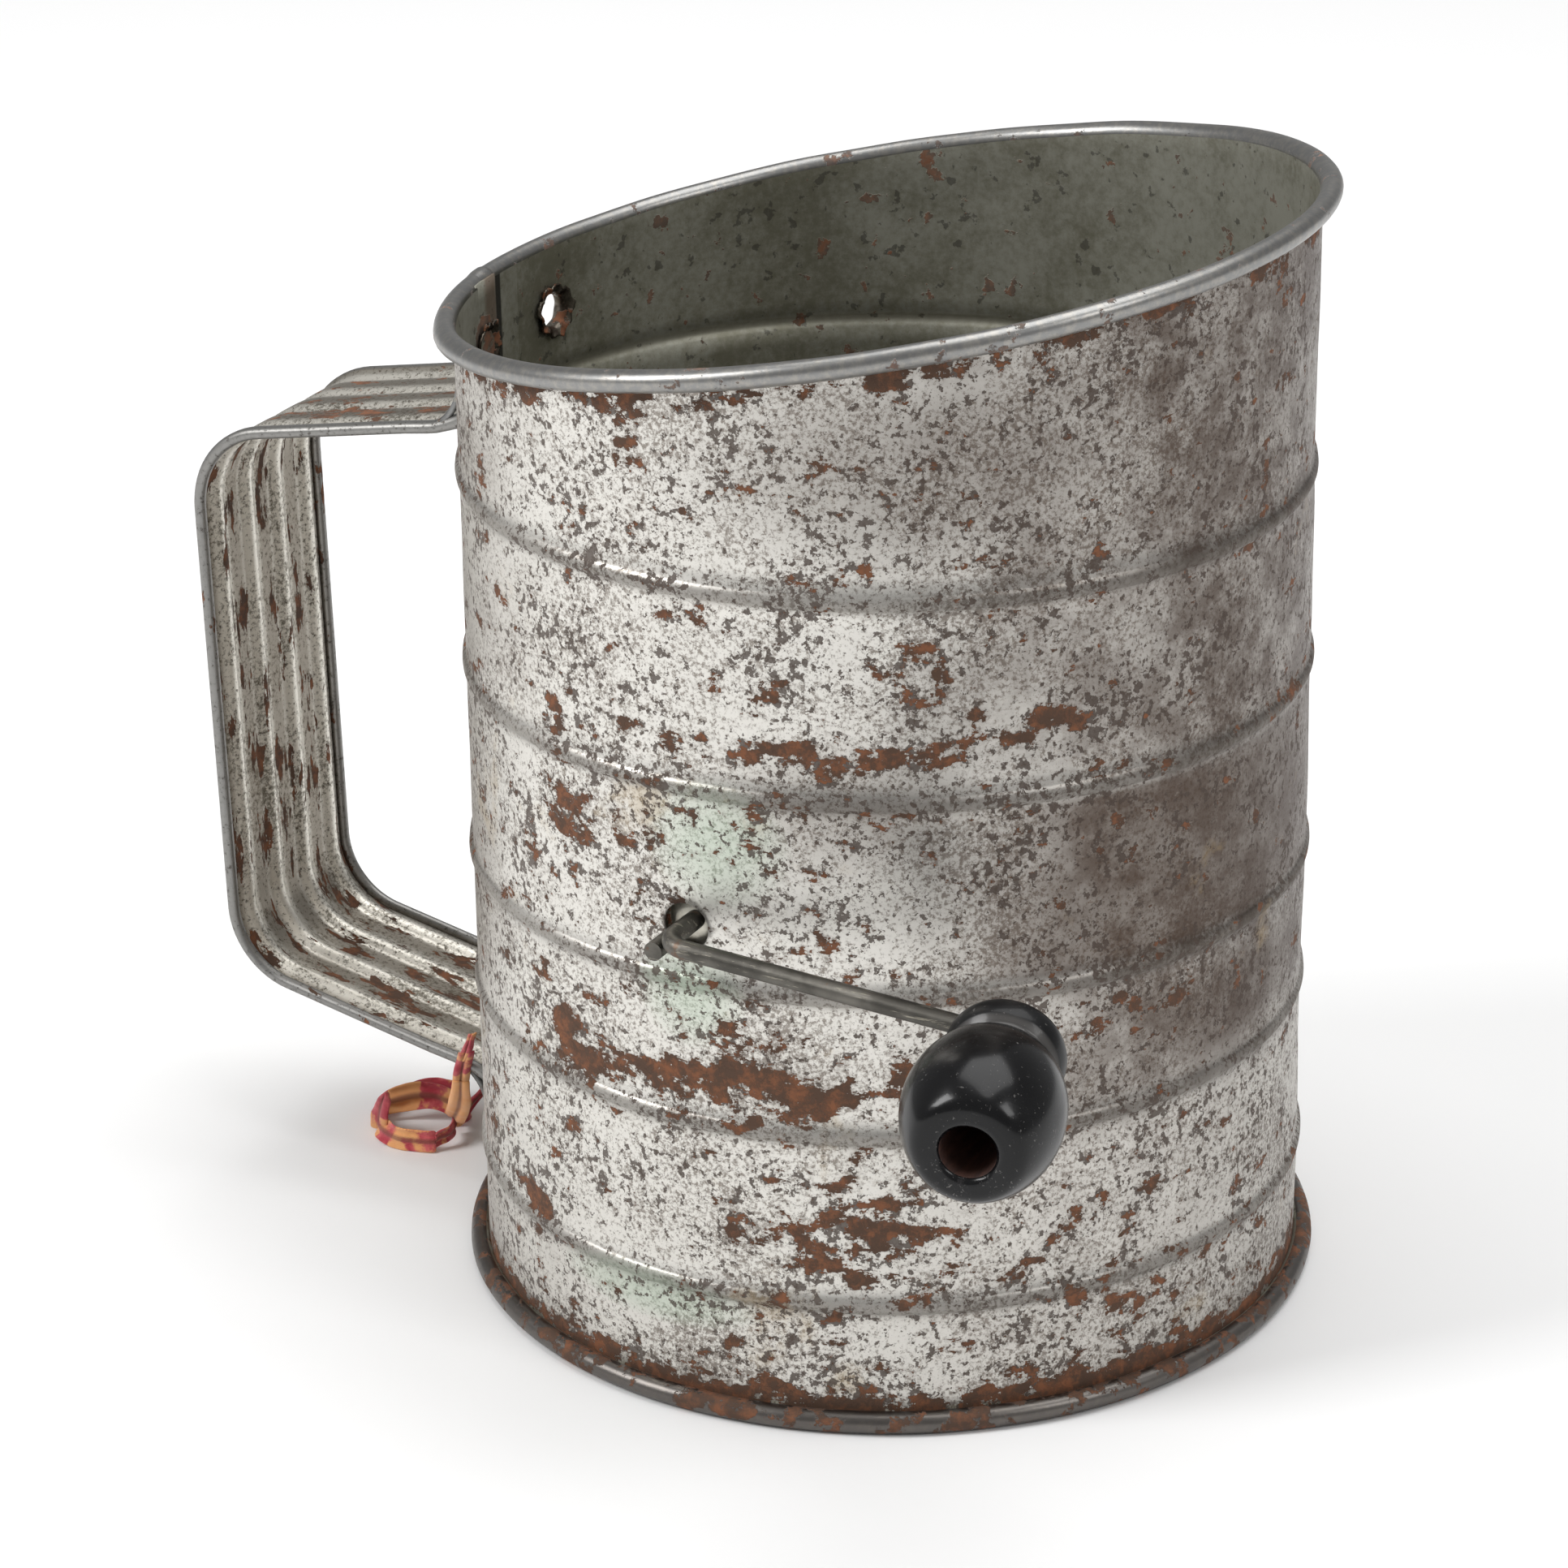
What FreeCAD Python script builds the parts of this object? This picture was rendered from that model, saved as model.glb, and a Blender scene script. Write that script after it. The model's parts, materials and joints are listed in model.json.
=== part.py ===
import FreeCAD, Part
import math
import os

# Flour sifter with a crank. Millimetres, +Z up, origin on the table under the can's axis.
# +X points from the handle to the high side of the slanted mouth. The crank shaft runs along Y
# and its crank is on the -Y side.

# --- can -------------------------------------------------------------------------------------
CAN_RADIUS = 54.0            # outside of the plain wall
SHEET = 0.4                  # tinplate
RIB_HEIGHTS = (110.4, 84.8, 59.2, 40.4, 17.2)
RIB_HALF_WIDTH = 1.1
RIB_RISE = 0.5
SCREEN_RIB = 2               # the rib whose groove holds the screen, counted from the top
ROLL_RADIUS = 1.42           # outside of the rolled rim and of the rolled foot
ROLL_SPAN = 325.0            # degrees of a full turn that the sheet is rolled
WIRE_PLAY = 0.02             # between a roll and the wire inside it
FOOT_FLAT = 0.08             # worn off the bottom of the foot roll
MOUTH_HEIGHT = 136.9         # centre of the rim roll, on the can's axis
MOUTH_RISE = 9.4             # of the rim roll above that, at the high side
MOUTH_TURN = 3.5             # degrees from +X to the high side

# --- shaft, agitator and crank ---------------------------------------------------------------
SHAFT_HEIGHT = 66.6
WIRE_RADIUS = 1.2
PAIR_GAP = 0.03              # between the two wires where they lie side by side
PAIR_ANGLE = 42.0            # degrees above +X of the crank wire's side of the pair
SHAFT_HOLE_RADIUS = 3.05
HOOP_GAP = 3.2               # from the screen to the centre of the agitator hoops
HOOP_BEND = 3.0
ARM_REACH = 7.3              # from the wall to the crank arm's centre, along -Y
ARM_LENGTH = 47.2            # from the shaft's axis to the knob pin
ARM_DROOP = 2.6              # fall of the arm from the shaft wire to the pin
ARM_BEND = 2.8
PIN_BEND = 1.7
PIN_SPLAY = 14.4             # degrees that the pin leans away from the shaft
PIN_DROOP = 4.4              # degrees that it leans down
FAR_END_REACH = 4.6          # from the wall to where the crank wire is cut off, along +Y
FAR_END_SHORT_REACH = 3.4    # the same for the agitator wire
STUB_REACH = 6.7             # from the wall to the agitator wire's end beside the crank
DISC_RADIUS = 5.6
DISC_THICKNESS = 0.5
DISC_GAP = 0.15              # between a disc's edge and the wall
SOLDER_LENGTH = 1.6
SOLDER_RADIUS = 2.9

# --- knob ------------------------------------------------------------------------------------
KNOB_GAP = 0.35              # from the arm to the knob's back
KNOB_LENGTH = 24.3
KNOB_RADIUS = 9.5
KNOB_HALF_LENGTH = 12.2
KNOB_MIDDLE = 15.0           # widest place, from the knob's back
COLLAR_RADIUS = 7.25
COLLAR_LENGTH = 4.5
CREASE_RADIUS = 5.9
FACE_FILLET = 1.4
PIN_PLAY = 0.08
COUNTERBORE_RADIUS = 3.35
COUNTERBORE_DEPTH = 12.5
WASHER_RADIUS = 2.9
WASHER_THICKNESS = 0.6
WASHER_PLAY = 0.3
PIN_HEAD_RADIUS = 1.8
PIN_HEAD_LENGTH = 0.8

# --- screen ----------------------------------------------------------------------------------
SCREEN_GAP = 3.0             # from the can's outside to the screen's sphere, at its widest
SCREEN_THICKNESS = 0.5
SCREEN_TOP = 61.0
CHANNEL_SHEET = 0.3
CHANNEL_LEG = 1.2
SEAT_SHEET = 0.4
SEAT_LEG = 4.5
SEAT_PLAY = 0.02
SPRING_WIRE = 0.6            # radius of the ring that snaps into the rib's groove

# --- handle ----------------------------------------------------------------------------------
HANDLE_TOP_REACH = 42.0      # from the wall to where the strap's straight runs would meet
HANDLE_TOP_HEIGHT = 102.2
HANDLE_LOW_REACH = 40.1
HANDLE_LOW_HEIGHT = 25.5
HANDLE_TOP_JOIN = 109.9      # heights at which the legs would meet the can
HANDLE_LOW_JOIN = 17.2
HANDLE_WIDTH = 28.1          # between the centres of the rolled edges
HANDLE_SHEET = 0.5
HANDLE_TOP_BEND = 12.0
HANDLE_LOW_BEND = 10.5
HANDLE_FOOT_BEND = 7.0
EDGE_ROLL = 0.8              # outside radius of the strap's rolled edges
EDGE_WIRE = 0.45
FOOT_GAP = 0.02              # between the can and the strap's feet
FOOT_HEIGHT = 8.0            # of the two feet that lie on the can
FOOT_WIDTH = 27.0
EYELET_HALF_ANGLE = 9.6      # degrees about the can's axis
EYELET_TURN = 1.5            # degrees that the pair of eyelets sits off the handle's plane
EYELET_HOLE = 2.2
EYELET_SHEET = 0.35
EYELET_LIP = 1.0
EYELET_PLAY = 0.02
EYELET_UP = 3.6              # eyelet centre, from the start of its foot

# --- ribbon ----------------------------------------------------------------------------------
RIBBON_RADIUS = 1.6          # half the ribbon's width
KNOT_RADIUS = 2.2
KNOT_REACH = 3.8             # from the wall to the knot's centre
KNOT_OFFSET = 0.85           # from the roll's centre to the knot's centre, outward
KNOT_HEIGHT = 18.0
RIBBON_ROUTE = (
    (-57.8, -15.2, 15.5), (-59.0, -13.5, 12.2), (-61.4, -10.3, 8.4), (-64.4, -6.7, 4.7),
    (-66.9, -2.8, 2.3), (-67.4, 1.9, 1.65), (-70.8, 5.6, 1.65), (-75.6, 4.6, 1.65),
    (-78.6, 0.4, 1.65), (-78.2, -5.0, 1.65), (-75.1, -9.5, 1.65), (-70.3, -11.4, 1.65),
    (-65.9, -9.4, 1.65),
)
ARC_SHARE = 0.45             # of the shorter run beside each point, taken by its arc


def vec(x, y, z):
    return FreeCAD.Vector(x, y, z)


ORIGIN = vec(0, 0, 0)
Y_AXIS = vec(0, 1, 0)
Z_AXIS = vec(0, 0, 1)
INNER_RADIUS = CAN_RADIUS - SHEET
SCREEN_RADIUS = CAN_RADIUS - SCREEN_GAP
HOOP_RADIUS = SCREEN_RADIUS - HOOP_GAP
ARM_PLANE = CAN_RADIUS + ARM_REACH
STUB_END = CAN_RADIUS + STUB_REACH
FAR_END = CAN_RADIUS + FAR_END_REACH
FAR_END_SHORT = CAN_RADIUS + FAR_END_SHORT_REACH
HANDLE_TOP_CORNER = (CAN_RADIUS + HANDLE_TOP_REACH, HANDLE_TOP_HEIGHT)
HANDLE_LOW_CORNER = (CAN_RADIUS + HANDLE_LOW_REACH, HANDLE_LOW_HEIGHT)
ROLL_CENTRE = INNER_RADIUS + ROLL_RADIUS
TOUCHING = 1e-4              # points nearer than this are one point


def line(a, b):
    return Part.LineSegment(a, b).toShape()


def arc(a, through, b):
    return Part.Arc(a, through, b).toShape()


def face_of(edges):
    return Part.Face(Part.Wire(Part.__sortEdges__(edges)))


def spun(edges, centre=ORIGIN, axis=Z_AXIS):
    return face_of(edges).revolve(centre, axis, 360)


def ring(inner, outer, low, high):
    """A flat-sided ring about the can's axis."""
    solid = Part.makeCylinder(outer, high - low, vec(0, 0, low))
    return solid.cut(Part.makeCylinder(inner, high - low, vec(0, 0, low)))


def ring_sector(inner, outer, low, high, start, end):
    points = [vec(inner, 0, low), vec(outer, 0, low), vec(outer, 0, high), vec(inner, 0, high)]
    face = Part.Face(Part.makePolygon(points + points[:1]))
    return face.rotate(ORIGIN, Z_AXIS, start).revolve(ORIGIN, Z_AXIS, end - start)


def slanted(shape):
    """Shears a level shape so that its z = 0 plane becomes the slanted mouth."""
    slope = MOUTH_RISE / ROLL_CENTRE
    turn = math.radians(MOUTH_TURN)
    shear = FreeCAD.Matrix()
    shear.A31 = slope * math.cos(turn)
    shear.A32 = slope * math.sin(turn)
    shear.A34 = MOUTH_HEIGHT
    return shape.transformGeometry(shear)


def rounded_path(points, radii):
    """A wire of straight runs joined by tangent arcs, one radius for each inner point."""
    edges = []
    start = points[0]
    for before, corner, after, radius in zip(points, points[1:], points[2:], radii):
        towards = (before - corner).normalize()
        away = (after - corner).normalize()
        half = math.acos(max(-1.0, min(1.0, towards.dot(away)))) / 2
        setback = radius / math.tan(half)
        enter = corner + towards * setback
        leave = corner + away * setback
        middle = (towards + away).normalize()
        deepest = corner + middle * (radius / math.sin(half) - radius)
        if (enter - start).Length > TOUCHING:
            edges.append(line(start, enter))
        edges.append(arc(enter, deepest, leave))
        start = leave
    if (points[-1] - start).Length > TOUCHING:
        edges.append(line(start, points[-1]))
    return edges


def tube(edges, radius):
    """A round bar along a smooth path of edges."""
    spine = Part.Wire(edges)
    start = edges[0].valueAt(edges[0].FirstParameter)
    direction = edges[0].tangentAt(edges[0].FirstParameter)
    section = Part.Wire(Part.makeCircle(radius, start, direction))
    return spine.makePipeShell([section], True, True)


# --- can -------------------------------------------------------------------------------------
def wall_side(radius, top):
    """One face of the can's wall in the XZ plane, with an arc at each rib."""
    edges = []
    low = vec(radius, 0, ROLL_RADIUS)
    for height in sorted(RIB_HEIGHTS):
        enter = vec(radius, 0, height - RIB_HALF_WIDTH)
        leave = vec(radius, 0, height + RIB_HALF_WIDTH)
        edges.append(line(low, enter))
        edges.append(arc(enter, vec(radius + RIB_RISE, 0, height), leave))
        low = leave
    edges.append(line(low, vec(radius, 0, top)))
    return edges


def rolled_edge(direction):
    """The sheet curled outward about a wire at z = 0, from the wall over the top (1) or foot (-1)."""
    def at(radius, angle):
        turn = math.radians(angle)
        return vec(ROLL_CENTRE + radius * math.cos(turn), 0, direction * radius * math.sin(turn))

    first, last = 180.0, 180.0 - ROLL_SPAN
    middle = (first + last) / 2
    inside = ROLL_RADIUS - SHEET
    return spun([
        arc(at(ROLL_RADIUS, first), at(ROLL_RADIUS, middle), at(ROLL_RADIUS, last)),
        arc(at(inside, first), at(inside, middle), at(inside, last)),
        line(at(ROLL_RADIUS, first), at(inside, first)),
        line(at(ROLL_RADIUS, last), at(inside, last)),
    ])


def edge_wire():
    return Part.makeTorus(ROLL_CENTRE, ROLL_RADIUS - SHEET - WIRE_PLAY)


def can_body():
    top = MOUTH_HEIGHT + 2 * MOUTH_RISE
    edges = wall_side(CAN_RADIUS, top) + wall_side(INNER_RADIUS, top)
    for height in (ROLL_RADIUS, top):
        edges.append(line(vec(INNER_RADIUS, 0, height), vec(CAN_RADIUS, 0, height)))
    wall = spun(edges)
    side = 4 * CAN_RADIUS
    wall = wall.cut(slanted(Part.makeBox(side, side, side, vec(-side / 2, -side / 2, 0))))
    foot = rolled_edge(-1)
    foot.translate(vec(0, 0, ROLL_RADIUS))
    body = wall.fuse([slanted(rolled_edge(1)), foot])
    body = body.cut(Part.makeCylinder(2 * CAN_RADIUS, FOOT_FLAT))
    start = vec(0, -2 * CAN_RADIUS, SHAFT_HEIGHT)
    body = body.cut(Part.makeCylinder(SHAFT_HOLE_RADIUS, 4 * CAN_RADIUS, start, Y_AXIS))
    for place in eyelet_places().values():
        body = body.cut(radial_bar(EYELET_HOLE + EYELET_SHEET + EYELET_PLAY, *place))
    return body


def rim_wire():
    return slanted(edge_wire())


def foot_wire():
    wire = edge_wire()
    wire.translate(vec(0, 0, ROLL_RADIUS))
    return wire


# --- screen ----------------------------------------------------------------------------------
def dome_radius(radius, height):
    """Distance from the can's axis to a sphere about the shaft's centre, at a height."""
    return math.sqrt(radius ** 2 - (SHAFT_HEIGHT - height) ** 2)


def screen_mesh():
    edges = []
    ends = []
    for radius in (SCREEN_RADIUS - SCREEN_THICKNESS / 2, SCREEN_RADIUS + SCREEN_THICKNESS / 2):
        rim = vec(dome_radius(radius, SCREEN_TOP), 0, SCREEN_TOP)
        half = radius * math.sqrt(0.5)
        pole = vec(0, 0, SHAFT_HEIGHT - radius)
        edges.append(arc(rim, vec(half, 0, SHAFT_HEIGHT - half), pole))
        ends.append((rim, pole))
    edges += [line(ends[0][i], ends[1][i]) for i in (0, 1)]
    return spun(edges)


SCREEN_OUTSIDE = dome_radius(SCREEN_RADIUS + SCREEN_THICKNESS / 2, SCREEN_TOP)
SCREEN_INSIDE = dome_radius(SCREEN_RADIUS - SCREEN_THICKNESS / 2, SCREEN_TOP - CHANNEL_LEG)
CHANNEL_OUTSIDE = SCREEN_OUTSIDE + 2 * SEAT_PLAY + CHANNEL_SHEET
SEAT_TOP = RIB_HEIGHTS[SCREEN_RIB] - SPRING_WIRE - CHANNEL_SHEET - SEAT_PLAY
SEAT_OUTSIDE = INNER_RADIUS - SEAT_PLAY


def screen_channel():
    """The folded binding on the screen's edge, with a flange that rests on the seat."""
    inside = SCREEN_INSIDE - SEAT_PLAY - CHANNEL_SHEET
    web = ring(inside, CHANNEL_OUTSIDE, SCREEN_TOP, SCREEN_TOP + CHANNEL_SHEET)
    inner = ring(inside, inside + CHANNEL_SHEET, SCREEN_TOP - CHANNEL_LEG, SCREEN_TOP)
    outer = ring(CHANNEL_OUTSIDE - CHANNEL_SHEET, CHANNEL_OUTSIDE, SEAT_TOP, SCREEN_TOP)
    flange = ring(CHANNEL_OUTSIDE - CHANNEL_SHEET, SEAT_OUTSIDE, SEAT_TOP, SEAT_TOP + CHANNEL_SHEET)
    return web.fuse([inner, outer, flange]).removeSplitter()


def screen_seat():
    """An angle ring soldered inside the can, under the screen's flange."""
    leg = ring(SEAT_OUTSIDE - SEAT_SHEET, SEAT_OUTSIDE, SEAT_TOP - SEAT_LEG, SEAT_TOP)
    shelf = ring(CHANNEL_OUTSIDE - CHANNEL_SHEET, SEAT_OUTSIDE, SEAT_TOP - SEAT_SHEET, SEAT_TOP)
    return leg.fuse(shelf).removeSplitter()


def screen_spring_ring():
    """The round wire ring that snaps into the rib's groove over the screen's flange."""
    radius = INNER_RADIUS + RIB_RISE - SPRING_WIRE - SEAT_PLAY
    return Part.makeTorus(radius, SPRING_WIRE, vec(0, 0, RIB_HEIGHTS[SCREEN_RIB]))


# --- agitator and crank ----------------------------------------------------------------------
PAIR_OFFSET = WIRE_RADIUS + PAIR_GAP / 2


def in_hoop_plane(along, out):
    """A point in the plane of the hoops: along +Y, and out from the shaft's axis."""
    turn = math.radians(PAIR_ANGLE)
    return vec(out * math.cos(turn), along, SHAFT_HEIGHT + out * math.sin(turn))


def hoop_edges(side):
    """From the near journal over one hoop to the far journal; side is 1 or -1."""
    centre_out = PAIR_OFFSET + HOOP_BEND
    centre_along = math.sqrt((HOOP_RADIUS + HOOP_BEND) ** 2 - centre_out ** 2)
    share = HOOP_RADIUS / (HOOP_RADIUS + HOOP_BEND)
    towards = math.atan2(-centre_out, centre_along)
    middle = (towards - math.pi / 2) / 2

    def at(along, out):
        return in_hoop_plane(along, side * out)

    def bend(sign):
        journal = at(sign * centre_along, PAIR_OFFSET)
        hoop = at(sign * centre_along * share, centre_out * share)
        between = at(sign * (centre_along + HOOP_BEND * math.sin(middle)),
                     centre_out - HOOP_BEND * math.cos(middle))
        return journal, between, hoop

    near = bend(-1)
    far = bend(1)
    return near[0], [
        arc(near[0], near[1], near[2]),
        arc(near[2], at(0, HOOP_RADIUS), far[2]),
        arc(far[2], far[1], far[0]),
    ], far[0]


def pin_direction():
    splay = math.tan(math.radians(PIN_SPLAY))
    droop = math.tan(math.radians(PIN_DROOP))
    return vec(splay, -1, -droop).normalize()


def pin_corner():
    return vec(ARM_LENGTH, -ARM_PLANE, in_hoop_plane(0, PAIR_OFFSET).z - ARM_DROOP)


def knob_back():
    """The centre of the knob's back face, on the pin."""
    turn = math.radians(90 - PIN_SPLAY)
    return pin_corner() + pin_direction() * (PIN_BEND * math.tan(turn / 2) + KNOB_GAP)


WASHER_BACK = KNOB_LENGTH - COUNTERBORE_DEPTH + WASHER_PLAY


def crank_wire():
    near, hoop, far = hoop_edges(1)
    pin_end = knob_back() + pin_direction() * (WASHER_BACK + WASHER_THICKNESS)
    corner = vec(near.x, -ARM_PLANE, near.z)
    path = rounded_path([pin_end, pin_corner(), corner, near], [PIN_BEND, ARM_BEND])
    path += hoop + [line(far, vec(far.x, FAR_END, far.z))]
    head = Part.makeCone(WIRE_RADIUS, PIN_HEAD_RADIUS, PIN_HEAD_LENGTH / 2, pin_end, pin_direction())
    cap = Part.makeCylinder(PIN_HEAD_RADIUS, PIN_HEAD_LENGTH / 2,
                            pin_end + pin_direction() * (PIN_HEAD_LENGTH / 2), pin_direction())
    return tube(path, WIRE_RADIUS).fuse([head, cap])


def agitator_wire():
    near, hoop, far = hoop_edges(-1)
    path = [line(vec(near.x, -STUB_END, near.z), near)] + hoop
    path.append(line(far, vec(far.x, FAR_END_SHORT, far.z)))
    return tube(path, WIRE_RADIUS)


def wire_pair(start, end):
    """Both journals as plain bars, for cutting what they pass through."""
    return [Part.makeCylinder(WIRE_RADIUS, end - start, in_hoop_plane(start, side * PAIR_OFFSET), Y_AXIS)
            for side in (1, -1)]


DISC_FACE = math.sqrt(INNER_RADIUS ** 2 - DISC_RADIUS ** 2) - DISC_GAP


def collar_on_pair(radius, start, end):
    solid = Part.makeCylinder(radius, end - start, vec(0, start, SHAFT_HEIGHT), Y_AXIS)
    for bar in wire_pair(start, end):
        solid = solid.cut(bar)
    return solid


def shaft_disc(sign):
    start, end = sorted((sign * DISC_FACE, sign * (DISC_FACE - DISC_THICKNESS)))
    return collar_on_pair(DISC_RADIUS, start, end)


def shaft_solder(sign):
    inner = DISC_FACE - DISC_THICKNESS
    start, end = sorted((sign * inner, sign * (inner - SOLDER_LENGTH)))
    return collar_on_pair(SOLDER_RADIUS, start, end)


# --- knob ------------------------------------------------------------------------------------
def on_pin(shape):
    """Moves a shape built along +Z from the origin onto the pin, from the knob's back."""
    shape.Placement = FreeCAD.Placement(knob_back(), FreeCAD.Rotation(Z_AXIS, pin_direction()))
    return shape


def knob_profile_radius(along):
    share = (along - KNOB_MIDDLE) / KNOB_HALF_LENGTH
    return KNOB_RADIUS * math.sqrt(1 - share ** 2)


def crank_knob():
    bore = WIRE_RADIUS + PIN_PLAY
    floor = KNOB_LENGTH - COUNTERBORE_DEPTH
    back_radius = COLLAR_RADIUS * 0.72
    crease = vec(CREASE_RADIUS, 0, COLLAR_LENGTH)
    first = COLLAR_LENGTH + 0.5
    step = (KNOB_LENGTH - first) / 2
    ball = [vec(knob_profile_radius(first + i * step), 0, first + i * step) for i in range(3)]
    edges = [
        line(vec(bore, 0, 0), vec(back_radius, 0, 0)),
        arc(vec(back_radius, 0, 0), vec(COLLAR_RADIUS, 0, COLLAR_LENGTH * 0.48), crease),
        line(crease, ball[0]),
        arc(ball[0], ball[1], ball[2]),
        line(ball[2], vec(COUNTERBORE_RADIUS, 0, KNOB_LENGTH)),
        line(vec(COUNTERBORE_RADIUS, 0, KNOB_LENGTH), vec(COUNTERBORE_RADIUS, 0, floor)),
        line(vec(COUNTERBORE_RADIUS, 0, floor), vec(bore, 0, floor)),
        line(vec(bore, 0, floor), vec(bore, 0, 0)),
    ]
    knob = spun(edges)
    rim = [e for e in knob.Edges if abs(e.BoundBox.ZMin - KNOB_LENGTH) < 1e-6
           and e.BoundBox.XMax > COUNTERBORE_RADIUS + 0.5]
    return on_pin(knob.makeFillet(FACE_FILLET, rim))


def knob_washer():
    washer = Part.makeCylinder(WASHER_RADIUS, WASHER_THICKNESS, vec(0, 0, WASHER_BACK))
    return on_pin(washer.cut(Part.makeCylinder(WIRE_RADIUS, KNOB_LENGTH)))


# --- handle ----------------------------------------------------------------------------------
FOOT_INSIDE = CAN_RADIUS + FOOT_GAP
STRAP_ON_CAN = FOOT_INSIDE + HANDLE_SHEET / 2


def foot_start(join, corner):
    """The height at which a leg's bend becomes upright, and the direction its foot runs in."""
    slope = math.atan2(join - corner[1], corner[0] - STRAP_ON_CAN)
    way = 1 if join > corner[1] else -1
    turn = math.pi / 2 - abs(slope)
    return join + way * HANDLE_FOOT_BEND * math.tan(turn / 2), way


def strap_points(across):
    top = foot_start(HANDLE_TOP_JOIN, HANDLE_TOP_CORNER)[0]
    low = foot_start(HANDLE_LOW_JOIN, HANDLE_LOW_CORNER)[0]
    route = [(STRAP_ON_CAN, top), (STRAP_ON_CAN, HANDLE_TOP_JOIN), HANDLE_TOP_CORNER,
             HANDLE_LOW_CORNER, (STRAP_ON_CAN, HANDLE_LOW_JOIN), (STRAP_ON_CAN, low)]
    return [vec(-reach, across, height) for reach, height in route]


STRAP_BENDS = (HANDLE_FOOT_BEND, HANDLE_TOP_BEND, HANDLE_LOW_BEND, HANDLE_FOOT_BEND)


def strap_path(across):
    """The strap's centre line, which starts and ends where its feet begin."""
    return rounded_path(strap_points(across), STRAP_BENDS)


def edge_sides():
    return {"front": -HANDLE_WIDTH / 2, "back": HANDLE_WIDTH / 2}


def handle_foot(join, corner):
    start, way = foot_start(join, corner)
    half = math.degrees(FOOT_WIDTH / 2 / CAN_RADIUS)
    low, high = sorted((start - way * HANDLE_FOOT_BEND / 2, start + way * FOOT_HEIGHT))
    return ring_sector(FOOT_INSIDE, FOOT_INSIDE + HANDLE_SHEET, low, high, 180 - half, 180 + half)


def beside(points, radii, distance):
    """The rounded path that runs a distance to the left of another one in the XZ plane."""
    runs = [(after - before).normalize() for before, after in zip(points, points[1:])]
    lefts = [vec(-run.z, 0, run.x) for run in runs]
    moved = [points[0] + lefts[0] * distance]
    changed = []
    for i, radius in enumerate(radii):
        first, second = lefts[i], lefts[i + 1]
        moved.append(points[i + 1] + (first + second) * (distance / (1 + first.dot(second))))
        turns_left = runs[i].dot(second) < 0
        changed.append(radius - distance if turns_left else radius + distance)
    moved.append(points[-1] + lefts[-1] * distance)
    return rounded_path(moved, changed), moved[0], moved[-1]


def handle_sheet():
    """The flat of the strap between its rolled edges."""
    edge = HANDLE_WIDTH / 2 - EDGE_ROLL + HANDLE_SHEET / 2
    points = strap_points(-edge)
    left = beside(points, STRAP_BENDS, HANDLE_SHEET / 2)
    right = beside(points, STRAP_BENDS, -HANDLE_SHEET / 2)
    edges = left[0] + right[0] + [line(left[1], right[1]), line(left[2], right[2])]
    return face_of(edges).extrude(vec(0, 2 * edge, 0))


def handle_strap():
    strap = handle_sheet().fuse([tube(strap_path(y), EDGE_ROLL) for y in edge_sides().values()])
    strap = strap.cut(Part.makeCylinder(FOOT_INSIDE, 4 * CAN_RADIUS))
    strap = strap.fuse([handle_foot(HANDLE_TOP_JOIN, HANDLE_TOP_CORNER),
                        handle_foot(HANDLE_LOW_JOIN, HANDLE_LOW_CORNER)])
    for y in edge_sides().values():
        strap = strap.cut(tube(strap_path(y), EDGE_WIRE + WIRE_PLAY))
    for place in eyelet_places().values():
        strap = strap.cut(radial_bar(EYELET_HOLE + EYELET_SHEET + EYELET_PLAY, *place))
    return strap


def eyelet_places():
    """Angle about the can's axis and height of each eyelet."""
    places = {}
    for end, join, corner in (("upper", HANDLE_TOP_JOIN, HANDLE_TOP_CORNER),
                              ("lower", HANDLE_LOW_JOIN, HANDLE_LOW_CORNER)):
        start, way = foot_start(join, corner)
        for side, sign in (("front", 1), ("back", -1)):
            angle = 180 + EYELET_TURN + sign * EYELET_HALF_ANGLE
            places[end + "_" + side] = (angle, start + way * EYELET_UP)
    return places


def radial_bar(radius, angle, height, inner=INNER_RADIUS - 5, outer=CAN_RADIUS + 5):
    turn = math.radians(angle)
    out = vec(math.cos(turn), math.sin(turn), 0)
    return Part.makeCylinder(radius, outer - inner, out * inner + vec(0, 0, height), out)


def handle_eyelet(angle, height):
    """A hollow rivet through the can and the strap's foot, turned over on both sides."""
    tube_radius = EYELET_HOLE + EYELET_SHEET
    lip_radius = tube_radius + EYELET_LIP
    sag = INNER_RADIUS - math.sqrt(INNER_RADIUS ** 2 - lip_radius ** 2)
    inside = INNER_RADIUS - sag - EYELET_PLAY
    outside = FOOT_INSIDE + HANDLE_SHEET + EYELET_PLAY
    barrel = radial_bar(tube_radius, angle, height, inside - EYELET_SHEET, outside + EYELET_SHEET)
    lips = [radial_bar(lip_radius, angle, height, inside - EYELET_SHEET, inside),
            radial_bar(lip_radius, angle, height, outside, outside + EYELET_SHEET)]
    return barrel.fuse(lips).cut(radial_bar(EYELET_HOLE, angle, height))


# --- ribbon ----------------------------------------------------------------------------------
def ribbon_knot():
    across = edge_sides()["front"] - KNOT_OFFSET
    knot = Part.makeSphere(KNOT_RADIUS, vec(-CAN_RADIUS - KNOT_REACH, across, KNOT_HEIGHT))
    return knot.cut([tube(strap_path(edge_sides()["front"]), EDGE_ROLL), handle_sheet()])


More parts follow.
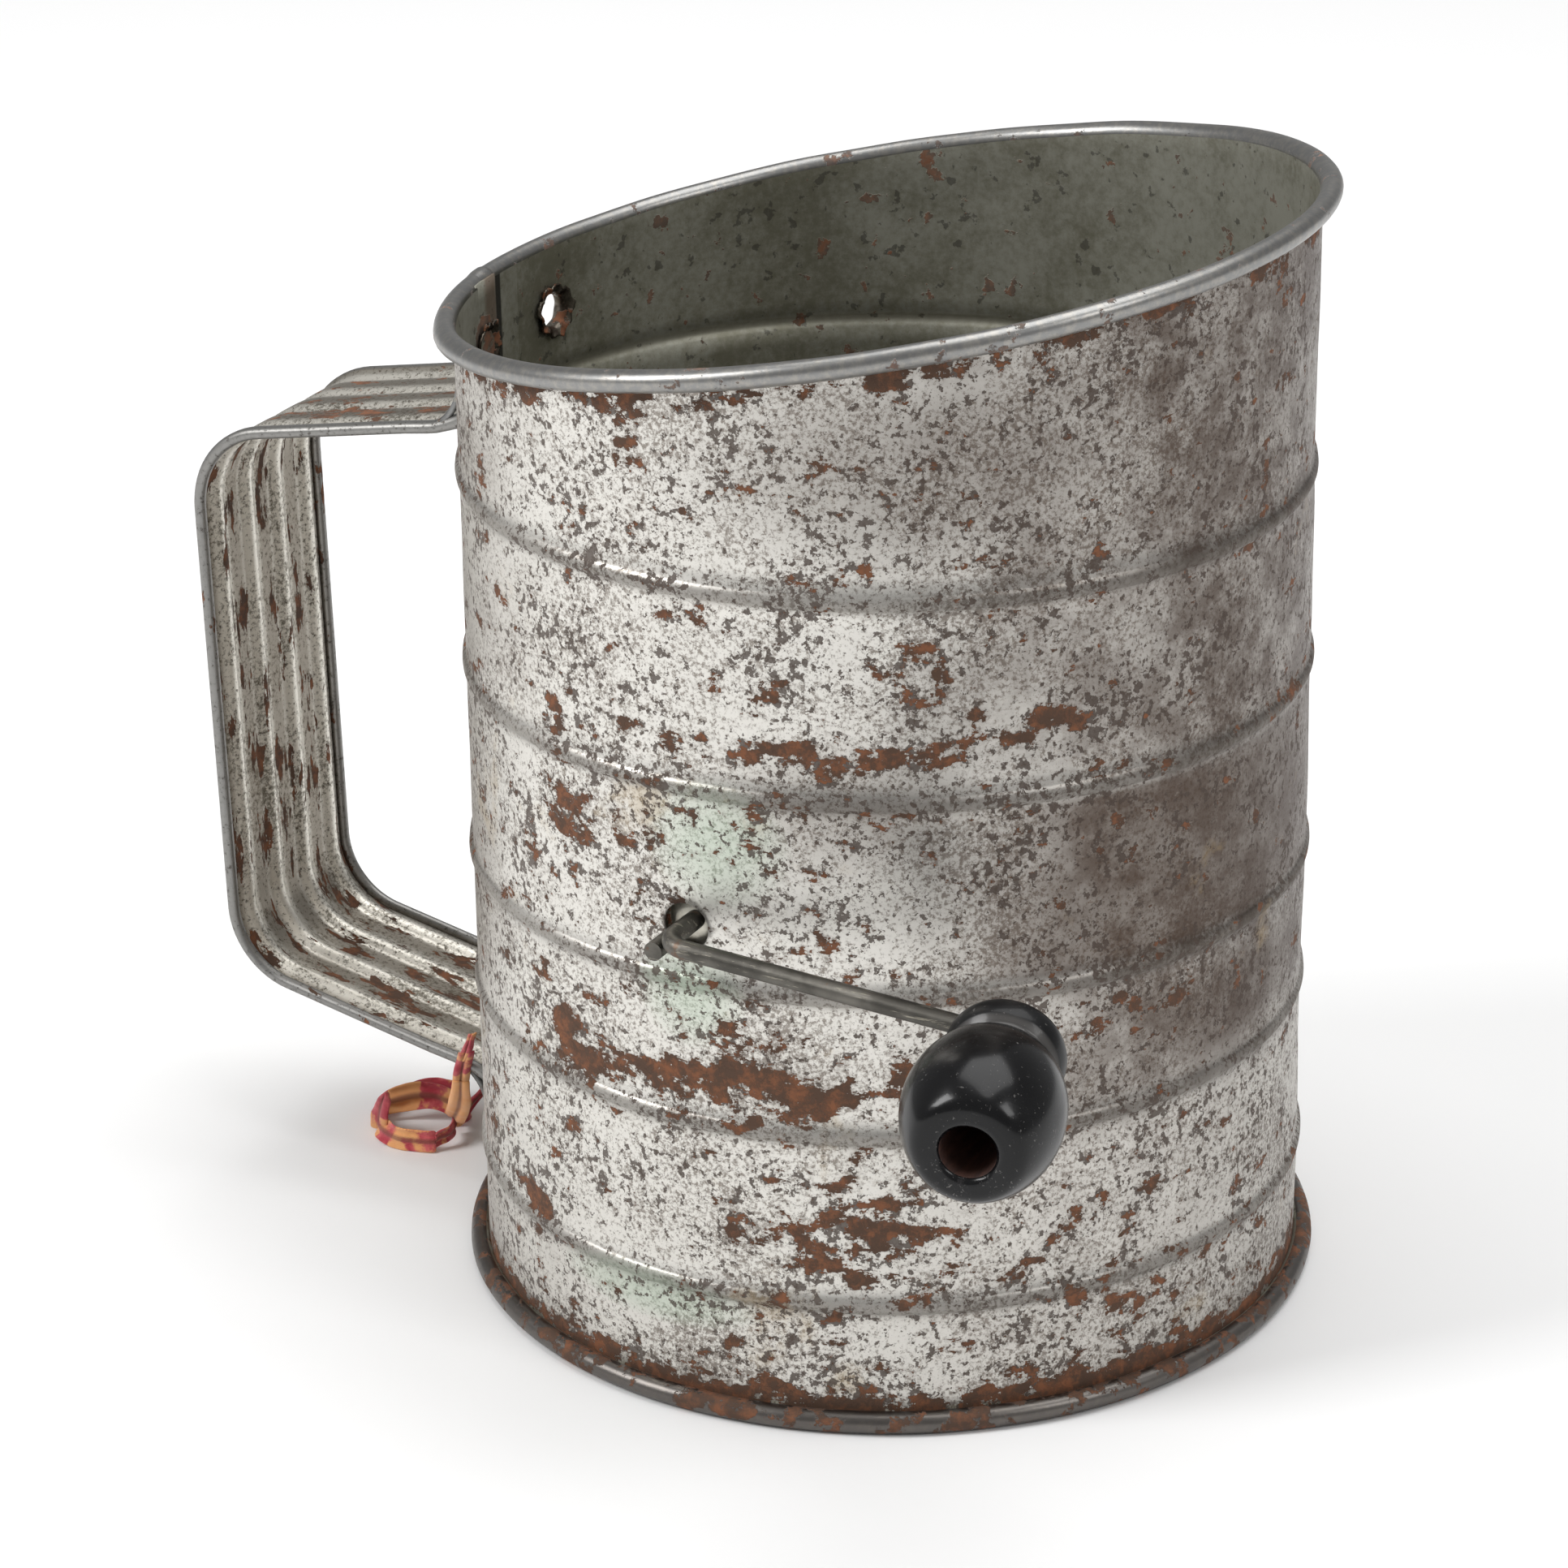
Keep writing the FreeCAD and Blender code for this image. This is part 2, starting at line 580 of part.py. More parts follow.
def ribbon():
    """The ribbon's tail: down from the knot, then curled on the table."""
    points = [vec(*point) for point in RIBBON_ROUTE]
    radii = []
    for before, corner, after in zip(points, points[1:], points[2:]):
        half_turn = (corner - before).getAngle(after - corner) / 2
        shorter = min((corner - before).Length, (after - corner).Length)
        radii.append(ARC_SHARE * shorter / math.tan(half_turn))
    path = rounded_path(points, radii)
    length = sum(edge.Length for edge in path)
    print("ribbon radii", [round(radius, 1) for radius in radii], "length", round(length, 1))
    tail = tube(path, RIBBON_RADIUS)
    print("ribbon volume", tail.Volume, "section times length", math.pi * RIBBON_RADIUS ** 2 * length)
    return tail


# --- all pieces ------------------------------------------------------------------------------
def pieces():
    nodes = {
        "can_body": can_body(),
        "rim_wire": rim_wire(),
        "foot_wire": foot_wire(),
        "screen_mesh": screen_mesh(),
        "screen_channel": screen_channel(),
        "screen_seat": screen_seat(),
        "screen_spring_ring": screen_spring_ring(),
        "crank_wire": crank_wire(),
        "agitator_wire": agitator_wire(),
        "crank_side_disc": shaft_disc(-1),
        "far_side_disc": shaft_disc(1),
        "crank_side_solder": shaft_solder(-1),
        "far_side_solder": shaft_solder(1),
        "crank_knob": crank_knob(),
        "knob_washer": knob_washer(),
        "handle_strap": handle_strap(),
        "ribbon_knot": ribbon_knot(),
        "ribbon": ribbon(),
    }
    for side, across in edge_sides().items():
        nodes["handle_edge_wire_" + side] = tube(strap_path(across), EDGE_WIRE)
    for name, place in eyelet_places().items():
        nodes["eyelet_" + name] = handle_eyelet(*place)
    return nodes


os.makedirs("parts", exist_ok=True)
for name, shape in pieces().items():
    shape.exportStep("parts/" + name + ".step")
    print(name, "valid" if shape.isValid() else "NOT VALID", len(shape.Solids), round(shape.Volume, 2))
print("knob back", knob_back(), "pin direction", pin_direction())
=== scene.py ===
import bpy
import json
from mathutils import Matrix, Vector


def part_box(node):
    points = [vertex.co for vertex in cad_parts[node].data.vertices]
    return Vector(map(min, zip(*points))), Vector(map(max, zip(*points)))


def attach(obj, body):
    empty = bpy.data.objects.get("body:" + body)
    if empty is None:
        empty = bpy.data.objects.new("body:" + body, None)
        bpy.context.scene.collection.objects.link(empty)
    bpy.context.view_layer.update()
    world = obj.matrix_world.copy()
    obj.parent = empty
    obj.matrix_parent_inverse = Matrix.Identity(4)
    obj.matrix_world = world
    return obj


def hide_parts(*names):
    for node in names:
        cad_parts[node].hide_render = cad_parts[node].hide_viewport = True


bl_info = {
    "name": "Flour sifter",
    "version": (1, 0, 0),
    "blender": (4, 5, 0),
    "location": "View3D > Sidebar > Sifter",
    "description": "Detailed pieces and finishes of a hand-cranked tin flour sifter",
    "category": "Object",
}

import json
import math
import random

import bmesh
import bpy
from mathutils import Matrix, Vector, noise

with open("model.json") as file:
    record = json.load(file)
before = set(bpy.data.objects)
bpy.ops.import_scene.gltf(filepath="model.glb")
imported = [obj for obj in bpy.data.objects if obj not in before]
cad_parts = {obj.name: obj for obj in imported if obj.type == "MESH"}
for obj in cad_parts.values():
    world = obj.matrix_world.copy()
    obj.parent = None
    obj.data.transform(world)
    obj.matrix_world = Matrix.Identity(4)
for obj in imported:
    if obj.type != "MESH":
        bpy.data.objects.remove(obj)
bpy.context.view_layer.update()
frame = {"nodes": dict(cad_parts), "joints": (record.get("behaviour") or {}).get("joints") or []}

TURN = math.tau
Y_AXIS = Vector((0, 1, 0))
Z_AXIS = Vector((0, 0, 1))
JOINTS = {joint["name"]: joint for joint in frame["joints"]}
SHAFT_POINT = Vector(JOINTS["crank_spin"]["pos_m"])
KNOB_POINT = Vector(JOINTS["knob_spin"]["pos_m"])
KNOB_AXIS = Vector(JOINTS["knob_spin"]["axis"]).normalized()


# --- sizes and colours that a user would change -------------------------------------------------
def length(name, default, description):
    return bpy.props.FloatProperty(name=name, default=default, description=description,
                                   unit="LENGTH", precision=5)


def angle(name, degrees, description):
    return bpy.props.FloatProperty(name=name, default=math.radians(degrees),
                                   description=description, subtype="ANGLE", unit="ROTATION")


def colour(name, default, description):
    return bpy.props.FloatVectorProperty(name=name, default=default, description=description,
                                         subtype="COLOR", size=3, min=0.0, max=1.0)


class CanSettings(bpy.types.PropertyGroup):
    radius: length("Wall radius", 0.054, "Outside of the plain wall")
    sheet: length("Sheet", 0.0004, "Thickness of the tinplate")
    rib_rise: length("Rib rise", 0.0005, "How far each measuring rib stands out")
    rib_half_width: length("Rib half width", 0.0011, "Half of a rib's height")
    roll_radius: length("Roll radius", 0.00142, "Outside of the rolled rim and foot")
    mouth_height: length("Mouth height", 0.1369, "Centre of the rim roll on the can's axis")
    mouth_rise: length("Mouth rise", 0.0094, "Rise of the rim at the high side")
    mouth_turn: angle("Mouth turn", 3.5, "Direction of the high side from +X")
    dent_depth: length("Dent depth", 0.00022, "How uneven the wall is")
    lap_angle: angle("Lap angle", 187.1, "Where the inner sheet's cut edge shows")
    lap_turn: angle("Lap turn", 6.5, "How far the two ends of the sheet overlap")
    shaft_hole: length("Shaft hole", 0.00305, "Radius of the holes for the shaft wires")
    columns: bpy.props.IntProperty(name="Columns", default=240, description="Faces round the can")


class ScreenSettings(bpy.types.PropertyGroup):
    radius: length("Bowl radius", 0.051, "Radius of the wire cloth's bowl")
    pitch: length("Wire pitch", 0.0016, "From one wire of the cloth to the next")
    wire_radius: length("Wire radius", 0.0002, "Radius of the cloth's wires")
    top: length("Edge height", 0.0608, "Height at which the cloth ends in its binding")


class HandleSettings(bpy.types.PropertyGroup):
    width: length("Width", 0.0281, "Between the centres of the rolled edges")
    sheet: length("Sheet", 0.00045, "Thickness of the strap")
    roll_radius: length("Edge roll", 0.0008, "Outside of the rolled edges")
    ridge_height: length("Ridge height", 0.00075, "Height of the lengthwise ridges")
    ridges: bpy.props.IntProperty(name="Ridges", default=3, description="Ridges along the strap")
    top_reach: length("Top reach", 0.0960, "From the can's axis to the upper corner")
    top_height: length("Top height", 0.1022, "Height of the upper corner")
    low_reach: length("Low reach", 0.0941, "From the can's axis to the lower corner")
    low_height: length("Low height", 0.0255, "Height of the lower corner")
    top_join: length("Top join", 0.1099, "Height at which the upper leg meets the can")
    low_join: length("Low join", 0.0172, "Height at which the lower leg meets the can")
    top_bend: length("Top bend", 0.012, "Radius of the upper corner")
    low_bend: length("Low bend", 0.0105, "Radius of the lower corner")
    foot_bend: length("Foot bend", 0.007, "Radius of the bends beside the can")
    foot_height: length("Foot height", 0.008, "Length of the feet that lie on the can")


class KnobSettings(bpy.types.PropertyGroup):
    length: length("Length", 0.0243, "From the knob's back to its front")
    radius: length("Radius", 0.0095, "Of the ball, at its widest")
    half_length: length("Ball half length", 0.0122, "Half of the whole ball's length")
    middle: length("Middle", 0.015, "From the back to the widest place")
    collar_radius: length("Collar radius", 0.00725, "Of the collar behind the crease")
    collar_length: length("Collar length", 0.0045, "From the back to the crease")
    crease_radius: length("Crease radius", 0.0061, "Of the turned crease")
    counterbore: length("Counterbore", 0.00335, "Radius of the hole in the front")
    depth: length("Counterbore depth", 0.0125, "Depth of the hole in the front")


class RibbonSettings(bpy.types.PropertyGroup):
    width: length("Width", 0.0032, "Of the folded ribbon")
    thickness: length("Thickness", 0.0007, "Of the folded ribbon")
    tan: colour("Tan", (0.82, 0.31, 0.10), "The ribbon's faded side")
    crimson: colour("Crimson", (0.48, 0.025, 0.05), "The ribbon's red side")


class FinishSettings(bpy.types.PropertyGroup):
    tin_light: colour("Bright tin", (0.74, 0.72, 0.675), "Where the tin is whole")
    tin_grey: colour("Worn tin", (0.29, 0.26, 0.23), "Where the tin is worn thin")
    tarnish: colour("Tarnish", (0.075, 0.050, 0.037), "Brown-grey tarnish on one side of the can")
    inside: colour("Inside", (0.21, 0.202, 0.150), "Dull tin inside the can")
    rust_dark: colour("Dark rust", (0.088, 0.048, 0.030), "Old rust")
    rust_light: colour("Light rust", (0.22, 0.085, 0.038), "Loose rust")
    steel: colour("Steel", (0.27, 0.27, 0.265), "Wires and rolled edges")
    crank_steel: colour("Crank steel", (0.165, 0.156, 0.138), "The crank and agitator wires")
    paint: colour("Paint", (0.0035, 0.0035, 0.004), "Black paint of the knob")
    wood: colour("Wood", (0.035, 0.014, 0.010), "Bare wood in the knob's hole")


class StageSettings(bpy.types.PropertyGroup):
    eye: bpy.props.FloatVectorProperty(name="Camera", default=(0.27503, -0.53979, 0.32424),
                                       description="Place of the camera", subtype="XYZ",
                                       unit="LENGTH")
    heading: angle("Heading", 28.276, "Direction of the view, from +Y towards -X")
    tilt: angle("Tilt", 23.192, "How far the view looks down")
    roll: angle("Roll", 0.833, "Turn of the camera about its view")
    field: angle("Field of view", 17.567, "Width of the view")
    floor: colour("Floor", (0.94, 0.94, 0.94), "Colour of the floor")
    surroundings: bpy.props.FloatProperty(name="Surroundings", default=0.33,
                                          description="Brightness of the studio's walls")


SETTINGS = {
    "sifter_can": CanSettings,
    "sifter_screen": ScreenSettings,
    "sifter_handle": HandleSettings,
    "sifter_knob": KnobSettings,
    "sifter_ribbon": RibbonSettings,
    "sifter_finish": FinishSettings,
    "sifter_stage": StageSettings,
}

RIB_HEIGHTS = (0.0172, 0.0404, 0.0592, 0.0848, 0.1104)
RIB_STEPS = 8
WALL_ROW = 0.0022
ROLL_TURN = math.radians(325)
ROLL_STEPS = 22
# Heights between which the wall is uneven.
DENT_LOW, DENT_HIGH = 0.006, 0.126

EYELETS = ("eyelet_upper_front", "eyelet_upper_back", "eyelet_lower_front", "eyelet_lower_back")
# Radius of the holes for the eyelets, as a share of the shaft holes'.
EYELET_HOLE = 0.86

EDGE_CURL = math.radians(330)
EDGE_STEPS = 16
STRAP_COLUMNS = 60
STRAP_ROW = 0.003

COLLAR_STEPS = 15
BALL_STEPS = 30

# The ribbon's tail, from the knot to its bare end on the table.
RIBBON_ROUTE = (
    (-0.0578, -0.0152, 0.0155), (-0.0590, -0.0135, 0.0122), (-0.0614, -0.0103, 0.0084),
    (-0.0644, -0.0067, 0.0047), (-0.0669, -0.0028, 0.0023), (-0.0674, 0.0019, 0.00165),
    (-0.0708, 0.0056, 0.00165), (-0.0756, 0.0046, 0.00165), (-0.0786, 0.0004, 0.00165),
    (-0.0782, -0.0050, 0.00165), (-0.0751, -0.0095, 0.00165), (-0.0703, -0.0114, 0.00165),
    (-0.0659, -0.0094, 0.00165),
)
RIBBON_COLUMNS = 9
# The hanging part of the ribbon turns its flat side this way.
RIBBON_FACING = Vector((-0.4355, 0.8095, -0.3938))

# Name, place, point that it shines at, width and height, and power of each light.
SOFTBOXES = (
    ("left softbox", (-0.9, -0.8, 1.0), (0, 0, 0.07), (0.45, 0.75), 13),
    ("right softbox", (1.1, -0.2, 0.9), (0, 0, 0.07), (0.35, 0.5), 3.5),
    ("top softbox", (0.1, 0.3, 1.5), (0, 0, 0.05), (1.4, 1.2), 16),
)


# --- shader maths -------------------------------------------------------------------------------
class Socket:
    """An output of a shader node, which Python's operators turn into Math nodes."""

    def __init__(self, finish, output):
        self.finish = finish
        self.output = output

    def maths(self, operation, *values, clamp=False):
        settings = {"operation": operation, "use_clamp": clamp}
        return self.finish.node("ShaderNodeMath", settings, dict(enumerate(values)))

    def __add__(self, other):
        return self.maths("ADD", self, other)

    __radd__ = __add__

    def __sub__(self, other):
        return self.maths("SUBTRACT", self, other)

    def __rsub__(self, other):
        return self.maths("SUBTRACT", other, self)

    def __mul__(self, other):
        return self.maths("MULTIPLY", self, other)

    __rmul__ = __mul__

    def __truediv__(self, other):
        return self.maths("DIVIDE", self, other)

    def __abs__(self):
        return self.maths("ABSOLUTE", self)

    def sine(self):
        return self.maths("SINE", self)

    def cosine(self):
        return self.maths("COSINE", self)

    def highest(self, other):
        return self.maths("MAXIMUM", self, other)

    def clamped(self):
        return self.maths("ADD", self, 0.0, clamp=True)

    def between(self, low, high):
        """0 below low, 1 above high, and smooth from one to the other."""
        settings = {"interpolation_type": "SMOOTHSTEP"}
        return self.finish.node("ShaderNodeMapRange", settings,
                                {"Value": self, "From Min": low, "From Max": high})


class Finish:
    """A material under construction."""

    def __init__(self, name, metallic=1.0, roughness=0.4):
        self.material = bpy.data.materials.new(name)
        self.material.use_nodes = True
        self.tree = self.material.node_tree
        self.shader = self.tree.nodes["Principled BSDF"]
        self.shader.inputs["Metallic"].default_value = metallic
        self.shader.inputs["Roughness"].default_value = roughness
        self.place = self.node("ShaderNodeTexCoord", output="Object")
        self.axes = self.node("ShaderNodeSeparateXYZ", {}, {0: self.place}, output=None)

    def node(self, kind, settings=None, inputs=None, output=0):
        made = self.tree.nodes.new(kind)
        for key, value in (settings or {}).items():
            setattr(made, key, value)
        for key, value in (inputs or {}).items():
            self.fill(made.inputs[key], value)
        return made if output is None else Socket(self, made.outputs[output])

    def fill(self, target, value):
        if isinstance(value, Socket):
            self.tree.links.new(value.output, target)
        elif target.type == "RGBA":
            target.default_value = (*value, 1.0)
        else:
            target.default_value = value

    def axis(self, name):
        return Socket(self, self.axes.outputs[name])

    def stretched(self, scale):
        return self.node("ShaderNodeMapping", {}, {"Vector": self.place, "Scale": scale})

    def noise(self, size, detail=4.0, roughness=0.55, vector=None):
        """Cloudy noise whose clouds are about size metres across."""
        inputs = {"Vector": vector or self.place, "Scale": 1.0 / size, "Detail": detail,
                  "Roughness": roughness}
        return self.node("ShaderNodeTexNoise", {}, inputs)

    def mix(self, factor, first, second):
        """first where factor is 0, and second where it is 1."""
        made = self.node("ShaderNodeMix", {"data_type": "RGBA"}, {}, output=None)
        for name, value in (("Factor", factor), ("A", first), ("B", second)):
            wanted = "VALUE" if name == "Factor" else "RGBA"
            target = next(s for s in made.inputs if s.name == name and s.type == wanted)
            self.fill(target, value)
        result = next(s for s in made.outputs if s.type == "RGBA")
        return Socket(self, result)

    def bump(self, height, distance, strength):
        made = self.node("ShaderNodeBump", {}, {"Height": height, "Distance": distance,
                                                "Strength": strength})
        self.fill(self.shader.inputs["Normal"], made)

    def give(self, **values):
        for key, value in values.items():
            self.fill(self.shader.inputs[key.replace("_", " ").title()], value)
        return self.material


# --- bmesh helpers ------------------------------------------------------------------------------
class Outline:
    """A chain of edges that grows from its first point by straight runs and arcs."""

    def __init__(self, point):
        self.mesh = bmesh.new()
        self.tip = self.mesh.verts.new(point)

    def run(self, point, steps=1):
        start = self.tip.co.copy()
        for i in range(steps):
            made = bmesh.ops.extrude_vert_indiv(self.mesh, verts=[self.tip])
            self.tip = made["verts"][0]
            self.tip.co = start.lerp(Vector(point), (i + 1) / steps)
        return self

    def arc(self, centre, turn, steps, axis=Y_AXIS):
        made = bmesh.ops.spin(self.mesh, geom=[self.tip], cent=centre, axis=axis, angle=turn,
                              steps=steps)
        self.tip = next(v for v in made["geom_last"] if isinstance(v, bmesh.types.BMVert))
        return self

    def close(self):
        self.mesh.verts.ensure_lookup_table()
        self.run(self.mesh.verts[0].co)
        bmesh.ops.remove_doubles(self.mesh, verts=self.mesh.verts, dist=1e-7)
        return self

    def spun(self, steps, turn=TURN):
        """Turns the outline about Z into a shell."""
        geometry = self.mesh.verts[:] + self.mesh.edges[:]
        whole = abs(turn - TURN) < 1e-6
        bmesh.ops.spin(self.mesh, geom=geometry, cent=(0, 0, 0), axis=Z_AXIS, angle=turn,
                       steps=steps, use_merge=whole)
        bmesh.ops.remove_doubles(self.mesh, verts=self.mesh.verts, dist=1e-6)
        bmesh.ops.recalc_face_normals(self.mesh, faces=self.mesh.faces)
        return self.mesh


def placed(name, data):
    """Puts an object that holds this data in the scene."""
    made = bpy.data.objects.new(name, data)
    bpy.context.scene.collection.objects.link(made)
    return made


def finished(mesh, name, materials):
    """Turns a bmesh into a piece with these materials."""
    data = bpy.data.meshes.new(name)
    mesh.to_mesh(data)
    mesh.free()
    piece = placed(name, data)
    for material in materials:
        data.materials.append(material)
    data.shade_smooth()
    return piece


def thickened(piece, thickness, offset=0.0):
    """Gives a shell a thickness behind its faces for an offset of -1, or before them for 1."""
    sheet = piece.modifiers.new("sheet", "SOLIDIFY")
    sheet.thickness = thickness
    sheet.offset = offset
    return sheet


def applied(piece):
    """Makes a piece's modifiers part of its mesh."""
    bpy.context.view_layer.update()
    graph = bpy.context.evaluated_depsgraph_get()
    data = bpy.data.meshes.new_from_object(piece.evaluated_get(graph))
    piece.modifiers.clear()
    old = piece.data
    piece.data = data
    data.name = piece.name
    bpy.data.meshes.remove(old)
    return piece


def cut_holes(piece, cutters):
    """Cuts each cutter out of a piece, and removes the cutters."""
    for cutter in cutters:
        modifier = piece.modifiers.new("hole", "BOOLEAN")
        modifier.operation = "DIFFERENCE"
        modifier.solver = "EXACT"
        modifier.object = cutter
    applied(piece)
    for cutter in cutters:
        bpy.data.objects.remove(cutter)


def laid(place, direction):
    """The matrix that lays a shape made along Z in a direction, with its origin at a place."""
    return Matrix.Translation(place) @ Z_AXIS.rotation_difference(direction).to_matrix().to_4x4()


def bar(name, radius, start, end, material, segments=32):
    """A plain round bar from one point to another, for cutting a hole."""
    along = end - start
    mesh = bmesh.new()
    bmesh.ops.create_cone(mesh, cap_ends=True, segments=segments, radius1=radius, radius2=radius,
                          depth=along.length, matrix=laid((start + end) / 2, along))
    return finished(mesh, name, [material])


def smoothstep(value, low, high):
    """0 below low, 1 above high, and smooth from one to the other."""
    share = min(1.0, max(0.0, (value - low) / (high - low)))
    return share * share * (3 - 2 * share)


def outward(turn):
    """The direction out of the can at an azimuth."""
    return Vector((math.cos(turn), math.sin(turn), 0))


def adopt(piece, body, slot, *nodes):
    """Rides a piece on its body, and hides the CAD nodes that it stands for."""
    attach(piece, body)
    if nodes:
        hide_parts(*nodes)
    return piece


def dress(material, *nodes):
    """Gives CAD nodes a material and leaves their meshes alone."""
    for node in nodes:
        piece = frame["nodes"][node]
        for slot in piece.material_slots:
            slot.material = material
        if not piece.material_slots:
            piece.data.materials.append(material)


def settings(name):
    return getattr(bpy.context.scene, name)


def eyelet_place(node):
    """Where an eyelet sits on the can's wall, and the direction out of the can there."""
    low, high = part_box(node)
    middle = (low + high) / 2
    out = Vector((middle.x, middle.y, 0)).normalized()
    return out * settings("sifter_can").radius + Z_AXIS * middle.z, out


def eyelet_cutters(reach, material):
    """Bars that cut the four holes for the eyelets, this far to each side of the wall."""
    hole = settings("sifter_can").shaft_hole * EYELET_HOLE
    cutters = []
    for node in EYELETS:
        middle, out = eyelet_place(node)
        cutters.append(bar("eyelet_cut", hole, middle - out * reach, middle + out * reach,
                           material))
    return cutters


def mouth_slope():
    """How fast the slanted mouth rises along X and along Y."""
    can = settings("sifter_can")
    slope = can.mouth_rise / (can.radius - can.sheet + can.roll_radius)
    return slope * math.cos(can.mouth_turn), slope * math.sin(can.mouth_turn)


# --- finishes -----------------------------------------------------------------------------------
# Azimuth in degrees, height, half width and half height in metres, and strength of each place
# where the can has rusted.
RUST_PATCHES = (
    (-107.7, 0.0456, 0.0085, 0.0060, 1.25),
    (-119.3, 0.0195, 0.0040, 0.0030, 1.0),
    (-78.0, 0.0462, 0.0300, 0.0040, 0.85),
    (-56.0, 0.0475, 0.0130, 0.0055, 0.6),
    (-110.0, 0.0890, 0.0050, 0.0070, 0.75),
    (-110.0, 0.0765, 0.0055, 0.0060, 0.6),
    (-78.0, 0.0905, 0.0260, 0.0030, 0.65),
    (-45.0, 0.0935, 0.0160, 0.0030, 0.65),
    (-97.5, 0.1258, 0.0030, 0.0025, 0.7),
    (-79.0, 0.1293, 0.0040, 0.0030, 0.75),
    (-31.9, 0.0806, 0.0030, 0.0035, 0.7),
    (-59.3, 0.1045, 0.0030, 0.0018, 0.7),
    (-68.0, 0.0270, 0.0150, 0.0090, 0.45),
    (-44.0, 0.0610, 0.0050, 0.0035, 0.7),
    (-20.0, 0.0520, 0.0180, 0.0060, 0.5),
    (70.0, 0.0900, 0.0200, 0.0050, 0.6),
    (120.0, 0.0500, 0.0140, 0.0100, 0.6),
    (30.0, 0.0300, 0.0180, 0.0060, 0.6),
)
# Places of a green bloom, and of the smoother, darker tarnish, in the same way; the last tarnish
# place is painted shade as well as rust.
GREEN_PATCHES = (
    (-85.7, 0.0780, 0.0100, 0.0090, 1.0),
    (-89.7, 0.0580, 0.0080, 0.0080, 1.0),
    (-97.0, 0.0145, 0.0160, 0.0040, 1.0),
    (95.0, 0.1000, 0.0120, 0.0100, 1.0),
)
TARNISH_AND_SHADE_PATCHES = (
    (-10.0, 0.0500, 0.0300, 0.0120, 0.8),
    (-8.0, 0.0960, 0.0260, 0.0160, 0.5),
    (-45.0, 0.1270, 0.0480, 0.0200, 0.5),
    # Partly rust, partly painted shade of the embossed lettering, which is not modelled.
    (-64.0, 0.0840, 0.0260, 0.0120, 0.4),
)
# Azimuths at which the right side's tarnish starts, is full, fades and ends.
TARNISH_EDGES = tuple(math.radians(turn) for turn in (-78, -20, 28, 60))
# The belt between two of the ribs is the darkest, and it starts and is full at these azimuths.
BELT_EDGES = tuple(math.radians(turn) for turn in (-64, -36))
LEFT_EDGES = tuple(math.radians(turn) for turn in (112, 150))
# Azimuths over which the painted light on the inside of the can fades out.
INSIDE_EDGES = tuple(math.radians(turn) for turn in (60, 120))

# Colours beside those in the panel.
RIB_WEAR_AND_SHADE = (0.13, 0.115, 0.10)
GREEN_BLOOM = (0.42, 0.55, 0.42)
YELLOW_STAIN = (0.42, 0.30, 0.14)
PIT_BROWN = (0.075, 0.052, 0.040)
INSIDE_PALE = (0.38, 0.375, 0.32)
INSIDE_RIB_HIGHLIGHT = (0.50, 0.48, 0.40)
INSIDE_SPECK = (0.06, 0.055, 0.045)
SEAM_BROWN = (0.17, 0.11, 0.075)
SEAM_SHADOW = (0.012, 0.011, 0.010)
ROLL_LIGHT = (0.35, 0.335, 0.31)
ROLL_LOW_DARK = (0.10, 0.085, 0.075)
STRAP_LIGHT = (0.76, 0.73, 0.66)
STRAP_GREY = (0.25, 0.23, 0.19)
STRAP_VALLEY_DARK = (0.14, 0.112, 0.078)
STRAP_PIT = (0.07, 0.055, 0.045)
WIRE_PALE = (0.42, 0.39, 0.32)
WIRE_RUST = (0.16, 0.085, 0.05)
CLOTH_LIGHT = (0.40, 0.40, 0.37)
CLOTH_DARK = (0.16, 0.14, 0.12)
SOLDER_LIGHT = (0.38, 0.38, 0.37)
SOLDER_DARK = (0.20, 0.19, 0.18)
DISC_LIGHT = (0.55, 0.53, 0.46)
DISC_DARK = (0.26, 0.24, 0.20)
EYELET_LIGHT = (0.20, 0.18, 0.15)
EYELET_DARK = (0.06, 0.045, 0.035)
PAINT_WORN = (0.014, 0.014, 0.015)
PAINT_SPECK = (0.24, 0.23, 0.22)
PAINT_SCUFF = (0.16, 0.15, 0.15)
PAINT_DUST = (0.20, 0.19, 0.18)
WOOD_LIGHT = (0.07, 0.028, 0.018)
RIBBON_TAN = (0.92, 0.50, 0.20)
RIBBON_PINK = (0.72, 0.13, 0.14)
RIBBON_CREASE_SHADE = (0.20, 0.05, 0.03)


def highest(masks):
    """At each point, the highest of several masks."""
    total = masks[0]
    for mask in masks[1:]:
        total = total.highest(mask)
    return total


def patches(around, height, places):
    """The strength of each patch in its middle, and 0 outside them all."""
    masks = []
    for turn, middle, half_width, half_height, strength in places:
        across = (around - math.radians(turn)) * (settings("sifter_can").radius / half_width)
        up = (height - middle) / half_height
        masks.append((1.0 - (across * across + up * up)).clamped() * strength)
    return highest(masks)


def near_ribs(height, below=0.0001, reach=0.0018):
    """1 along each measuring rib, or a little below it."""
    return highest([1.0 - abs(height - (rib - below)).between(0.0003, reach)
                    for rib in RIB_HEIGHTS])


def azimuth(finish):
    """The angle about the can's axis, from -pi to pi, and 0 at +X."""
    return finish.node("ShaderNodeMath", {"operation": "ARCTAN2"},
                       {0: finish.axis("Y"), 1: finish.axis("X")})


def below_rim(finish):
    """How far a point of the can lies under the centre of the slanted rim roll."""
    along_x, along_y = mouth_slope()
    rise = finish.axis("X") * along_x + finish.axis("Y") * along_y
    return rise + settings("sifter_can").mouth_height - finish.axis("Z")


def rust_colour(finish):
    colours = settings("sifter_finish")
    grain = finish.noise(0.0022, detail=6, roughness=0.7)
    return finish.mix(grain.between(0.42, 0.66), colours.rust_dark, colours.rust_light)


